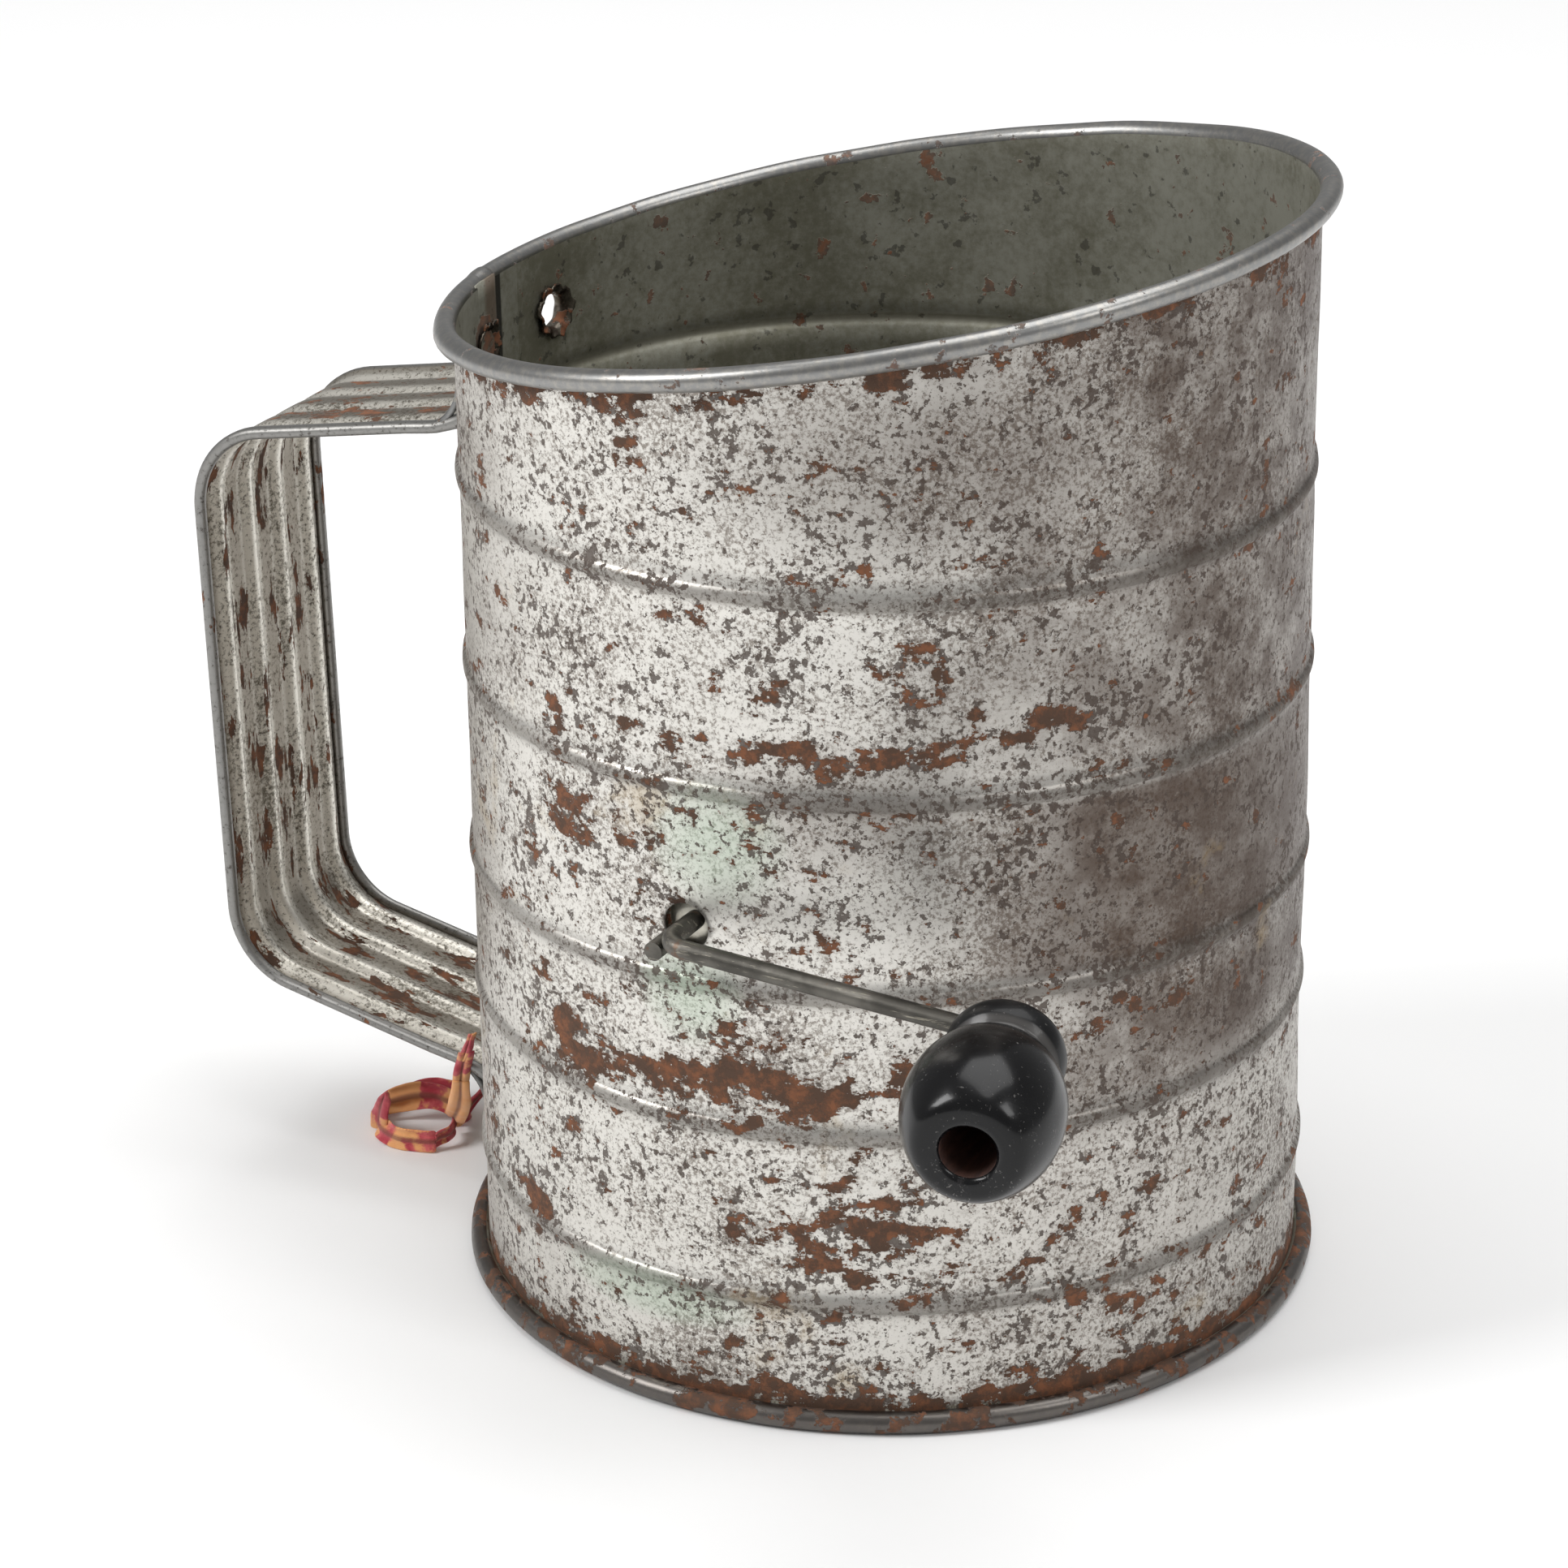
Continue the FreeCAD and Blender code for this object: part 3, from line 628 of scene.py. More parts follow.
def tin_colour(finish, light, grey, clouds):
    """Worn tin, whose bright grains thin out to grey in clouds, and the noise of its grains."""
    grains = finish.noise(0.0006, detail=5, roughness=0.75)
    return finish.mix((grains * 1.2 + clouds * 0.45).between(0.78, 0.98), light, grey), grains


def tin_outside():
    """Worn tin with tarnish, green bloom and stains, and then its flakes of rust and pits."""
    colours = settings("sifter_finish")
    finish = Finish("tinplate outside")
    height = finish.axis("Z")
    around = azimuth(finish)
    ribs = near_ribs(height)
    clouds = finish.noise(0.016, detail=6, roughness=0.62)
    tin, grains = tin_colour(finish, colours.tin_light, colours.tin_grey, clouds)

    start, full, fade, end = TARNISH_EDGES
    wander = (finish.noise(0.03, detail=5, roughness=0.6) - 0.5) * 1.2
    turned = around + wander
    tarnished = turned.between(start, full) * (1.0 - turned.between(fade, end))
    left_side = (0.0 - turned).between(*LEFT_EDGES)
    raised = height.between(0.034, 0.048) * 0.65 + 0.35
    blotch = finish.noise(0.007, detail=7, roughness=0.7).between(0.36, 0.6)
    low_rib, high_rib = RIB_HEIGHTS[2:4]
    belt = height.between(low_rib, low_rib + 0.002) * (
        1.0 - height.between(high_rib - 0.002, high_rib))
    turned = around + wander * 0.35
    belt = belt * turned.between(*BELT_EDGES) * (1.0 - turned.between(fade, end))
    smooth = patches(around, height, TARNISH_AND_SHADE_PATCHES).between(0.0, 0.8).highest(belt)
    dark = (tarnished * raised * (blotch * 0.3 + 0.6)).highest(smooth * (blotch * 0.15 + 0.8))
    tin = finish.mix(dark.clamped(), tin, colours.tarnish)
    # Darkens along each rib: partly wear, partly a painted shadow under the raised bead.
    tin = finish.mix(ribs * 0.55, tin, RIB_WEAR_AND_SHADE)
    tin = finish.mix(left_side * 0.55, tin, colours.tin_grey)
    tin = finish.mix(patches(around, height, GREEN_PATCHES) * 0.45, tin, GREEN_BLOOM)
    stain = finish.noise(0.02, detail=7, roughness=0.65).between(0.60, 0.70)
    tin = finish.mix(stain * 0.35, tin, YELLOW_STAIN)

    bias = patches(around, height, RUST_PATCHES)
    near_foot = 1.0 - height.between(0.0028, 0.0075)
    near_rim = 1.0 - below_rim(finish).between(0.0018, 0.0055)
    bias = bias.highest(near_foot * 0.95).highest(near_rim * 0.6)
    flakes = finish.noise(0.0036, detail=8, roughness=0.68)
    streaks = finish.noise(0.0032, detail=8, roughness=0.66,
                           vector=finish.stretched((0.45, 0.45, 1.3)))
    region = finish.noise(0.035, detail=3)
    grown = flakes * 0.55 + streaks * 0.45 + region * 0.12 + bias * 0.125 + 0.02 - smooth * 0.02
    rust = grown.between(0.651, 0.657)
    halo = grown.between(0.60, 0.66)
    specks = finish.noise(0.0011, detail=5, roughness=0.65)
    crowd = finish.noise(0.009, detail=4)
    pits = (specks + (grown - 0.58) * 0.5 + (crowd - 0.5) * 0.35).between(0.566, 0.578)

    base = finish.mix(halo * 0.4, tin, colours.tin_grey)
    base = finish.mix(pits * 0.85, base, PIT_BROWN)
    base = finish.mix(rust, base, rust_colour(finish))
    finish.bump(rust * 0.7 + specks * 0.12 - pits * 0.5 + grains * 0.25, 0.00016, 0.7)
    rough = (0.36 + grains * 0.16 + pits * 0.2).highest(ribs * 0.65)
    return finish.give(Base_Color=base, Metallic=1.0 - (rust * 0.95).highest(pits * 0.5),
                       Roughness=rough.highest(rust * 0.88))


def tin_inside():
    """Dull tin, stained round the upper eyelets and rust-brown along the seam's edge; painted shade
    beside the seam, and painted light on one side and along the ribs.
    """
    colours = settings("sifter_finish")
    finish = Finish("tinplate inside")
    clouds = finish.noise(0.02, detail=7, roughness=0.65)
    grain = finish.noise(0.0012, detail=5, roughness=0.7)
    height = finish.axis("Z")
    around = azimuth(finish)
    # Painted light: the inside is lighter on the side where the light falls in.
    pale = 1.0 - around.between(*INSIDE_EDGES)
    tone = clouds * 0.7 + grain * 0.45 + pale * 0.08
    tin = finish.mix(tone.between(0.45, 0.75), colours.inside, INSIDE_PALE)
    # Painted highlight along the ribs inside the can.
    tin = finish.mix(near_ribs(height, -0.0003, 0.0011) * 0.5, tin, INSIDE_RIB_HIGHLIGHT)
    spots = finish.noise(0.0034, detail=7, roughness=0.6)
    stains = []
    for node in EYELETS[:2]:
        middle, out = eyelet_place(node)
        stains.append((math.degrees(math.atan2(out.y, out.x)), middle.z, 0.0048, 0.0062, 1.0))
    eyelets = patches(around, height, stains)
    rust = (spots + (clouds - 0.5) * 0.3 + eyelets * 0.22).between(0.636, 0.656)
    dark = (finish.noise(0.0022, detail=4) + eyelets * 0.08).between(0.62, 0.66)
    tin = finish.mix(dark * 0.6, tin, INSIDE_SPECK)
    beside = around + (TURN - settings("sifter_can").lap_angle)
    # A painted shadow beside the seam, and the rust-brown edge of the inner sheet.
    seam = 1.0 - abs(beside + 0.020).between(0.018, 0.026)
    edge = 1.0 - abs(beside - 0.030).between(0.020, 0.045)
    tin = finish.mix(edge * 0.7, tin, SEAM_BROWN)
    tin = finish.mix(seam * 0.9, tin, SEAM_SHADOW)
    base = finish.mix(rust * 0.85, tin, rust_colour(finish))
    finish.bump(grain * 0.4 + rust, 0.00012, 0.5)
    return finish.give(Base_Color=base, Metallic=0.65 - rust * 0.5,
                       Roughness=0.42 + clouds * 0.2 + rust * 0.25)


def rolled_tin():
    """The rim and foot rolls: worn steel above, rust below, and darker towards the bottom."""
    colours = settings("sifter_finish")
    finish = Finish("rolled edge")
    grain = finish.noise(0.0011, detail=6, roughness=0.7)
    clouds = finish.noise(0.009, detail=6, roughness=0.6)
    low = 1.0 - finish.axis("Z").between(0.003, 0.02)
    steel = finish.mix(grain.between(0.4, 0.68), colours.steel, ROLL_LIGHT)
    steel = finish.mix(low * 0.75, steel, ROLL_LOW_DARK)
    rust = (finish.noise(0.0036, detail=8, roughness=0.66) + low * 0.09).between(0.60, 0.63)
    base = finish.mix(rust * (0.75 + low * 0.2), steel, rust_colour(finish))
    finish.bump(grain * 0.4 + rust, 0.00012, 0.6)
    return finish.give(Base_Color=base, Metallic=1.0 - rust * 0.85,
                       Roughness=0.3 + clouds * 0.15 + rust * 0.45)


def ridge_waves():
    """The strap's ridges as a cosine across it: its turn per metre, and its offset."""
    handle = settings("sifter_handle")
    offset = math.pi if handle.ridges % 2 else 0.0
    return TURN * (handle.ridges + 1) / handle.width, offset


def strap_tin():
    """Bright tin, darker in the valleys between the ridges."""
    colours = settings("sifter_finish")
    handle = settings("sifter_handle")
    finish = Finish("handle tin")
    clouds = finish.noise(0.012, detail=6, roughness=0.6)
    along = finish.noise(0.0035, detail=7, roughness=0.65, vector=finish.stretched((0.6, 1.6, 0.4)))
    tin, grains = tin_colour(finish, STRAP_LIGHT, STRAP_GREY, clouds)
    waves, offset = ridge_waves()
    valley = (finish.axis("Y") * waves + offset).cosine() * -0.5 + 0.5
    tin = finish.mix(valley.between(0.25, 0.9) * 0.72, tin, STRAP_VALLEY_DARK)
    edge = abs(finish.axis("Y")).between(handle.width / 2 - 0.0012, handle.width / 2 - 0.0004)
    tin = finish.mix(edge * 0.8, tin, colours.steel)
    rust = (along + valley * 0.07 + (clouds - 0.5) * 0.3 - edge * 0.1).between(0.612, 0.622)
    pits = (grains + valley * 0.03).between(0.63, 0.65)
    tin = finish.mix(pits * 0.7, tin, STRAP_PIT)
    base = finish.mix(rust, tin, rust_colour(finish))
    finish.bump(rust * 0.8 + grains * 0.25 - pits * 0.4, 0.00014, 0.7)
    return finish.give(Base_Color=base, Metallic=1.0 - rust * 0.9,
                       Roughness=0.36 + grains * 0.15 + rust * 0.4)


def drawn_wire(name, steel):
    """Grey wire, with pale flecks along it and spots of rust."""
    finish = Finish(name)
    flecks = finish.noise(0.0009, detail=6, roughness=0.7,
                          vector=finish.stretched((0.12, 1.6, 1.6)))
    clouds = finish.noise(0.006, detail=5)
    steel = finish.mix(clouds.between(0.35, 0.65), steel, tuple(c * 0.5 for c in steel))
    steel = finish.mix(flecks.between(0.58, 0.62) * 0.6, steel, WIRE_PALE)
    rust = finish.noise(0.004, detail=7, roughness=0.65).between(0.62, 0.68)
    steel = finish.mix(rust * 0.6, steel, WIRE_RUST)
    finish.bump(flecks, 0.0001, 0.5)
    return finish.give(Base_Color=steel, Roughness=0.32 + flecks * 0.25)


def cloth_wire():
    finish = Finish("screen wire")
    clouds = finish.noise(0.008, detail=5)
    steel = finish.mix(clouds.between(0.35, 0.7), CLOTH_LIGHT, CLOTH_DARK)
    return finish.give(Base_Color=steel, Roughness=0.35 + clouds * 0.3)


def soft_solder():
    finish = Finish("soft solder")
    clouds = finish.noise(0.0014, detail=5)
    grey = finish.mix(clouds.between(0.35, 0.7), SOLDER_LIGHT, SOLDER_DARK)
    finish.bump(clouds, 0.0003, 0.6)
    return finish.give(Base_Color=grey, Roughness=0.4 + clouds * 0.2)


def small_tin(name, light, dark, rust_from):
    """Cloudy tin that rusts where its noise passes rust_from."""
    finish = Finish(name)
    clouds = finish.noise(0.0035, detail=6, roughness=0.6)
    tin = finish.mix(clouds.between(0.4, 0.65), light, dark)
    rust = finish.noise(0.0022, detail=6).between(rust_from, rust_from + 0.04)
    base = finish.mix(rust, tin, rust_colour(finish))
    finish.bump(clouds + rust, 0.0002, 0.6)
    return finish.give(Base_Color=base, Metallic=1.0 - rust * 0.8, Roughness=0.4 + rust * 0.4)


def black_paint():
    """Gloss paint with dust in its crease, scuffed on the collar."""
    colours = settings("sifter_finish")
    finish = Finish("black paint", 0.0)
    worn = finish.noise(0.008, detail=6, roughness=0.65)
    dust = finish.noise(0.00045, detail=4, roughness=0.7)
    specks = (dust + (worn - 0.5) * 0.35).between(0.64, 0.71)
    scuffs = finish.noise(0.002, detail=7, roughness=0.7,
                          vector=finish.stretched((1.4, 0.5, 1.0))).between(0.64, 0.70)
    knob = settings("sifter_knob")
    from_back = finish.node("ShaderNodeVectorMath", {"operation": "SUBTRACT"},
                            {0: finish.place, 1: KNOB_POINT})
    along = finish.node("ShaderNodeVectorMath", {"operation": "DOT_PRODUCT"},
                        {0: from_back, 1: KNOB_AXIS}, output="Value")
    crease = 1.0 - abs(along - knob.collar_length - 0.0002).between(0.0002, 0.0008)
    collar = 1.0 - along.between(knob.collar_length - 0.0005, knob.collar_length + 0.0005)
    base = finish.mix(worn.between(0.45, 0.75) * 0.4, colours.paint, PAINT_WORN)
    base = finish.mix((specks * 0.6).clamped(), base, PAINT_SPECK)
    base = finish.mix(scuffs * (0.12 + collar * 0.25), base, PAINT_SCUFF)
    base = finish.mix(crease * 0.35, base, PAINT_DUST)
    finish.bump(worn + dust * 0.2, 0.0002, 0.15)
    finish.shader.inputs["Specular IOR Level"].default_value = 0.22
    finish.shader.inputs["Coat Roughness"].default_value = 0.10
    return finish.give(Base_Color=base, Roughness=0.16 + worn * 0.12 + specks * 0.3 + collar * 0.15,
                       Coat_Weight=0.15 - scuffs * 0.1)


def bare_wood():
    colours = settings("sifter_finish")
    finish = Finish("bare wood", 0.0)
    grain = finish.noise(0.0012, detail=6, roughness=0.6, vector=finish.stretched((1.5, 0.25, 1.5)))
    wood = finish.mix(grain.between(0.35, 0.7), colours.wood, WOOD_LIGHT)
    finish.bump(grain, 0.0002, 0.5)
    return finish.give(Base_Color=wood, Roughness=0.6 + grain * 0.2)


def ribbon_cloth(name, crimson_share):
    """Faded cloth, whose v runs along the ribbon and u across it."""
    colours = settings("sifter_ribbon")
    finish = Finish(name, 0.0, 0.6)
    uv = finish.node("ShaderNodeSeparateXYZ", {},
                     {0: finish.node("ShaderNodeUVMap", {"uv_map": "weave"})}, output=None)
    across, along = Socket(finish, uv.outputs["X"]), Socket(finish, uv.outputs["Y"])
    clouds = finish.noise(0.0035, detail=5)
    laid = along.between(0.30, 0.42) - along.between(0.72, 0.82) * 0.5
    red = (clouds + (laid - 0.5) * 0.25 + crimson_share).between(0.5, 0.6)
    tan = finish.mix(finish.noise(0.0012, detail=5), colours.tan, RIBBON_TAN)
    crimson = finish.mix(finish.noise(0.0016, detail=4).between(0.35, 0.7), colours.crimson,
                         RIBBON_PINK)
    cloth = finish.mix(red, tan, crimson)
    # Painted shade down the middle fold of the ribbon.
    crease = 1.0 - abs(across - 0.5).between(0.03, 0.16)
    cloth = finish.mix(crease * 0.75, cloth, RIBBON_CREASE_SHADE)
    threads = (along * 900.0).sine() * (across * 90.0).sine()
    finish.bump(threads * 0.5 + clouds, 0.00012, 0.6)
    finish.shader.inputs["Sheen Weight"].default_value = 0.25
    return finish.give(Base_Color=cloth, Roughness=0.55 + clouds * 0.2)


def pale_floor():
    finish = Finish("pale floor", 0.0, 0.75)
    floor = settings("sifter_stage").floor
    mottle = finish.noise(0.4, detail=2)
    tone = finish.mix(mottle * 0.3, tuple(floor), tuple(c * 0.98 for c in floor))
    finish.shader.inputs["Specular IOR Level"].default_value = 0.2
    return finish.give(Base_Color=tone)


# --- can ----------------------------------------------------------------------------------------
def slant(point):
    """Rise of the slanted mouth over its middle, above one point of the can."""
    along_x, along_y = mouth_slope()
    return point.x * along_x + point.y * along_y


def shear_to_mouth(mesh):
    """Slants the top of a can, from above its highest rib up to the rim."""
    start = RIB_HEIGHTS[-1] + 0.002
    end = settings("sifter_can").mouth_height - 0.002
    for vert in mesh.verts:
        share = (vert.co.z - start) / (end - start)
        vert.co.z += slant(vert.co) * min(1.0, max(0.0, share))


def wall_outline(outline, radius, high):
    """Runs up the wall from the outline's tip, with an arc at each rib."""
    can = settings("sifter_can")
    bulge = (can.rib_half_width ** 2 + can.rib_rise ** 2) / (2 * can.rib_rise)
    half_turn = math.asin(can.rib_half_width / bulge)
    for rib in RIB_HEIGHTS:
        enter = rib - can.rib_half_width
        steps = max(1, round((enter - outline.tip.co.z) / WALL_ROW))
        outline.run((radius, 0, enter), steps)
        outline.arc((radius + can.rib_rise - bulge, 0, rib), -2 * half_turn, RIB_STEPS)
    return outline.run((radius, 0, high), round((high - outline.tip.co.z) / WALL_ROW))


def face_outwards(mesh):
    """Turns the faces of a wall, which is an open shell, away from the can's axis."""
    facing = 0.0
    for face in mesh.faces:
        middle = face.calc_center_median()
        facing += face.normal.dot(Vector((middle.x, middle.y, 0))) * face.calc_area()
    if facing < 0:
        bmesh.ops.reverse_faces(mesh, faces=mesh.faces)


def turn_to_seam(mesh):
    """Turns a shell that starts at +X to start at the sheet's cut edge."""
    matrix = Matrix.Rotation(settings("sifter_can").lap_angle, 3, "Z")
    bmesh.ops.rotate(mesh, cent=(0, 0, 0), verts=mesh.verts, matrix=matrix)


def dent(mesh):
    """Makes the wall slightly uneven, and the rolls a little wavy."""
    depth = settings("sifter_can").dent_depth
    for vert in mesh.verts:
        place = vert.co
        out = Vector((place.x, place.y, 0)).normalized()
        broad = noise.noise(place * 38) + 0.45 * noise.noise(place * 95)
        fade = smoothstep(place.z, DENT_LOW, DENT_LOW + 0.008) * (
            1 - smoothstep(place.z, DENT_HIGH, DENT_HIGH + 0.008))
        wave = noise.noise(out * 4.2 + Vector((0, 0, 5)))
        vert.co += out * depth * (broad * fade + 0.5 * wave)
        vert.co.z += 0.6 * depth * wave * smoothstep(place.z, 0.11, 0.13)


class SIFTER_OT_can(bpy.types.Operator):
    """Make the ribbed can with its rolled rim and foot, its lap seam and its holes"""
    bl_idname = "sifter.can"
    bl_label = "Can"

    def wall(self, materials):
        """One sheet from the foot roll, up over the ribs and into the rim roll."""
        can = settings("sifter_can")
        centre = can.radius - can.sheet + can.roll_radius
        roll = can.roll_radius - can.sheet
        foot = (centre, 0, can.roll_radius)
        rim = (centre, 0, can.mouth_height)
        start = Matrix.Rotation(-ROLL_TURN, 3, "Y") @ Vector((-roll, 0, 0))
        outline = Outline(Vector(foot) + start)
        outline.arc(foot, ROLL_TURN, ROLL_STEPS)
        wall_outline(outline, can.radius, can.mouth_height)
        outline.arc(rim, ROLL_TURN, ROLL_STEPS)
        mesh = outline.spun(can.columns)
        face_outwards(mesh)
        self.mark_rolls(mesh)
        shear_to_mouth(mesh)
        dent(mesh)
        piece = finished(mesh, "can_wall", materials)
        sheet = thickened(piece, can.sheet, -1.0)
        sheet.material_offset = 1
        sheet.material_offset_rim = 1
        return applied(piece)

    def mark_rolls(self, mesh):
        """Gives the faces of the two rolls their own material."""
        can = settings("sifter_can")
        for face in mesh.faces:
            middle = face.calc_center_median()
            rolled = Vector((middle.x, middle.y, 0)).length > can.radius + can.rib_rise
            if rolled or not can.roll_radius <= middle.z <= can.mouth_height:
                face.material_index = 2

    def lap(self, material):
        """The inner end of the sheet, which shows as a step inside the can."""
        can = settings("sifter_can")
        radius = can.radius - 2 * can.sheet
        outline = Outline((radius, 0, can.roll_radius))
        wall_outline(outline, radius, can.mouth_height + 0.0006)
        mesh = outline.spun(10, turn=can.lap_turn)
        face_outwards(mesh)
        for vert in mesh.verts:
            share = math.atan2(vert.co.y, vert.co.x) / can.lap_turn
            lift = can.sheet * 1.15 * smoothstep(share, 0.3, 1.0)
            vert.co += outward(share * can.lap_turn) * lift
        turn_to_seam(mesh)
        shear_to_mouth(mesh)
        dent(mesh)
        piece = finished(mesh, "can_lap_seam", [material])
        thickened(piece, can.sheet * 0.9, 1.0)
        return applied(piece)

    def rim_step(self, material):
        """The doubled sheet at the seam, which shows as a step on the rim roll."""
        can = settings("sifter_can")
        centre = (can.radius - can.sheet + can.roll_radius, 0, can.mouth_height)
        outline = Outline(Vector(centre) + Vector((-can.roll_radius - 0.00022, 0, 0)))
        outline.arc(centre, math.radians(250), 18)
        mesh = outline.spun(8, turn=can.lap_turn * 0.8)
        face_outwards(mesh)
        turn_to_seam(mesh)
        for vert in mesh.verts:
            passed = math.atan2(vert.co.y, vert.co.x) % TURN - can.lap_angle
            shrink = 0.22 * smoothstep(passed / can.lap_turn, 0.15, 0.75)
            middle = outward(passed + can.lap_angle) * centre[0] + Z_AXIS * centre[2]
            vert.co = vert.co.lerp(middle, shrink)
            vert.co.z += slant(vert.co)
        dent(mesh)
        piece = finished(mesh, "rim_seam_step", [material])
        thickened(piece, can.sheet * 0.6, -1.0)
        return applied(piece)

    def execute(self, context):
        can = settings("sifter_can")
        outside, inside, rolled = tin_outside(), tin_inside(), rolled_tin()
        wall = self.wall([outside, inside, rolled, rolled])
        across = Y_AXIS * 0.08
        shaft_cut = bar("shaft_cut", can.shaft_hole, SHAFT_POINT - across, SHAFT_POINT + across,
                        rolled, 48)
        lap = self.lap(inside)
        cut_holes(wall, [shaft_cut, *eyelet_cutters(0.01, rolled)])
        adopt(wall, "can", "tinplate", "can_body")
        adopt(lap, "can", "tinplate")
        adopt(self.rim_step(rolled), "can", "tinplate")
        dress(drawn_wire("edge wire", settings("sifter_finish").steel), "rim_wire", "foot_wire")
        return {"FINISHED"}


# --- screen -------------------------------------------------------------------------------------
class SIFTER_OT_screen(bpy.types.Operator):
    """Weave the bowl of wire cloth and finish its binding, seat and spring ring"""
    bl_idname = "sifter.screen"
    bl_label = "Screen"

    def place(self, across, along, lift):
        """Lays a point of the flat cloth on the bowl, keeping its distance from the middle."""
        screen = settings("sifter_screen")
        flat = math.hypot(across, along)
        tilt = flat / screen.radius
        side = math.sin(tilt) / flat if flat > 1e-9 else 0.0
        radius = screen.radius + lift
        return SHAFT_POINT + Vector((radius * across * side, radius * along * side,
                                     -radius * math.cos(tilt)))

    def execute(self, context):
        screen = settings("sifter_screen")
        reach = screen.radius * math.acos((SHAFT_POINT.z - screen.top) / screen.radius)
        count = int(reach / screen.pitch)
        data = bpy.data.curves.new("screen_cloth", "CURVE")
        data.dimensions = "3D"
        data.bevel_depth = screen.wire_radius
        data.bevel_resolution = 0
        for i in range(-count, count + 1):
            offset = i * screen.pitch
            half = int(math.sqrt(max(0.0, reach ** 2 - offset ** 2)) / screen.pitch)
            if half < 1:
                continue
            for crossed in (False, True):
                wire = data.splines.new("POLY")
                wire.points.add(2 * half)
                for j in range(-half, half + 1):
                    over = 1 if (i + j + crossed) % 2 else -1
                    step = j * screen.pitch
                    pair = (offset, step) if crossed else (step, offset)
                    point = self.place(*pair, over * screen.wire_radius)
                    wire.points[j + half].co = (*point, 1.0)
        wires = placed("screen_cloth", data)
        mesh = bpy.data.meshes.new_from_object(wires)
        bpy.data.objects.remove(wires)
        cloth = placed("screen_cloth", mesh)
        mesh.materials.append(cloth_wire())
        adopt(cloth, "can", "screen_wire", "screen_mesh")
        dress(tin_inside(), "screen_channel", "screen_seat")
        dress(drawn_wire("spring ring wire", settings("sifter_finish").steel),
              "screen_spring_ring")
        return {"FINISHED"}


# --- crank and knob -----------------------------------------------------------------------------
class SIFTER_OT_crank(bpy.types.Operator):
    """Finish the crank and agitator wires, and make the dished discs on the shaft"""
    bl_idname = "sifter.crank"
    bl_label = "Crank and agitator"

    def disc(self, node, material):
        """A dished disc round the shaft wires, against the inside of the wall."""
        low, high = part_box(node)
        radius = (high.x - low.x) / 2
        out = 1 if low.y + high.y > 0 else -1
        face = high.y if out > 0 else low.y
        sheet = high.y - low.y
        outline = Outline((0.0009, 0, sheet * 1.5))
        outline.run((radius * 0.30, 0, sheet * 1.3), 2)
        outline.run((radius * 0.50, 0, sheet * 0.2), 3)
        outline.run((radius * 0.62, 0, 0), 2)
        outline.run((radius, 0, -sheet * 0.4), 2)
        mesh = outline.spun(48)
        for vert in mesh.verts:
            vert.co.z += 0.00012 * noise.noise(vert.co * 400)
        middle = Vector((0, face - out * sheet * 1.3, SHAFT_POINT.z))
        bmesh.ops.transform(mesh, matrix=laid(middle, Y_AXIS * out), verts=mesh.verts)
        piece = finished(mesh, node.replace("_side_disc", "_dished_disc"), [material])
        thickened(piece, sheet * 0.6)
        return adopt(applied(piece), "crank", "tinplate", node)

    def execute(self, context):
        wire = drawn_wire("drawn steel wire", settings("sifter_finish").crank_steel)
        dress(wire, "crank_wire", "agitator_wire", "knob_washer")
        dress(soft_solder(), "crank_side_solder", "far_side_solder")
        tin = small_tin("shaft disc tin", DISC_LIGHT, DISC_DARK, 0.60)
        for node in ("crank_side_disc", "far_side_disc"):
            self.disc(node, tin)
        return {"FINISHED"}


class SIFTER_OT_knob(bpy.types.Operator):
    """Turn the wooden knob, with its collar, crease and counterbored front"""
    bl_idname = "sifter.knob"
    bl_label = "Knob"

    def outline(self):
        """From the bore at the back, over the collar and the ball, and down the counterbore."""
        knob = settings("sifter_knob")
        back = knob.collar_radius * 0.70
        bore = 0.00128
        made = Outline((bore, 0, 0)).run((back, 0, 0), 3)
        for i in range(1, COLLAR_STEPS):
            share = i / COLLAR_STEPS
            swell = math.sin(math.pi * (0.12 + 0.76 * share)) ** 0.8
            least = back if share < 0.5 else knob.crease_radius
            made.run((least + (knob.collar_radius - least) * swell, 0, knob.collar_length * share))
        made.run((knob.crease_radius, 0, knob.collar_length + 0.0002))
        first = knob.collar_length + 0.0008
        last = knob.length - 0.0009
        for i in range(BALL_STEPS + 1):
            along = first + (last - first) * i / BALL_STEPS
            share = (along - knob.middle) / knob.half_length
            made.run((knob.radius * math.sqrt(1 - share ** 2), 0, along))
        lip = knob.counterbore + 0.0005
        made.run((made.tip.co.x - 0.0006, 0, knob.length - 0.0003))
        made.run((made.tip.co.x - 0.0008, 0, knob.length))
        made.run((lip, 0, knob.length), 3)
        made.run((knob.counterbore, 0, knob.length - 0.0005))
        floor = knob.length - knob.depth
        made.run((knob.counterbore, 0, floor), 6)
        made.run((bore, 0, floor), 3)
        return made.close()

    def execute(self, context):
        knob = settings("sifter_knob")
        mesh = self.outline().spun(96)
        for face in mesh.faces:
            middle = face.calc_center_median()
            inside = Vector((middle.x, middle.y, 0)).length < knob.counterbore * 1.02
            face.material_index = 1 if inside and middle.z < knob.length - 0.0015 else 0
        for vert in mesh.verts:
            out = Vector((vert.co.x, vert.co.y, 0))
            vert.co += out.normalized() * 0.00007 * noise.noise(vert.co * 160)
        bmesh.ops.transform(mesh, matrix=laid(KNOB_POINT, KNOB_AXIS), verts=mesh.verts)
        piece = finished(mesh, "turned_knob", [black_paint(), bare_wood()])
        adopt(piece, "knob", "black_knob", "crank_knob")
        return {"FINISHED"}


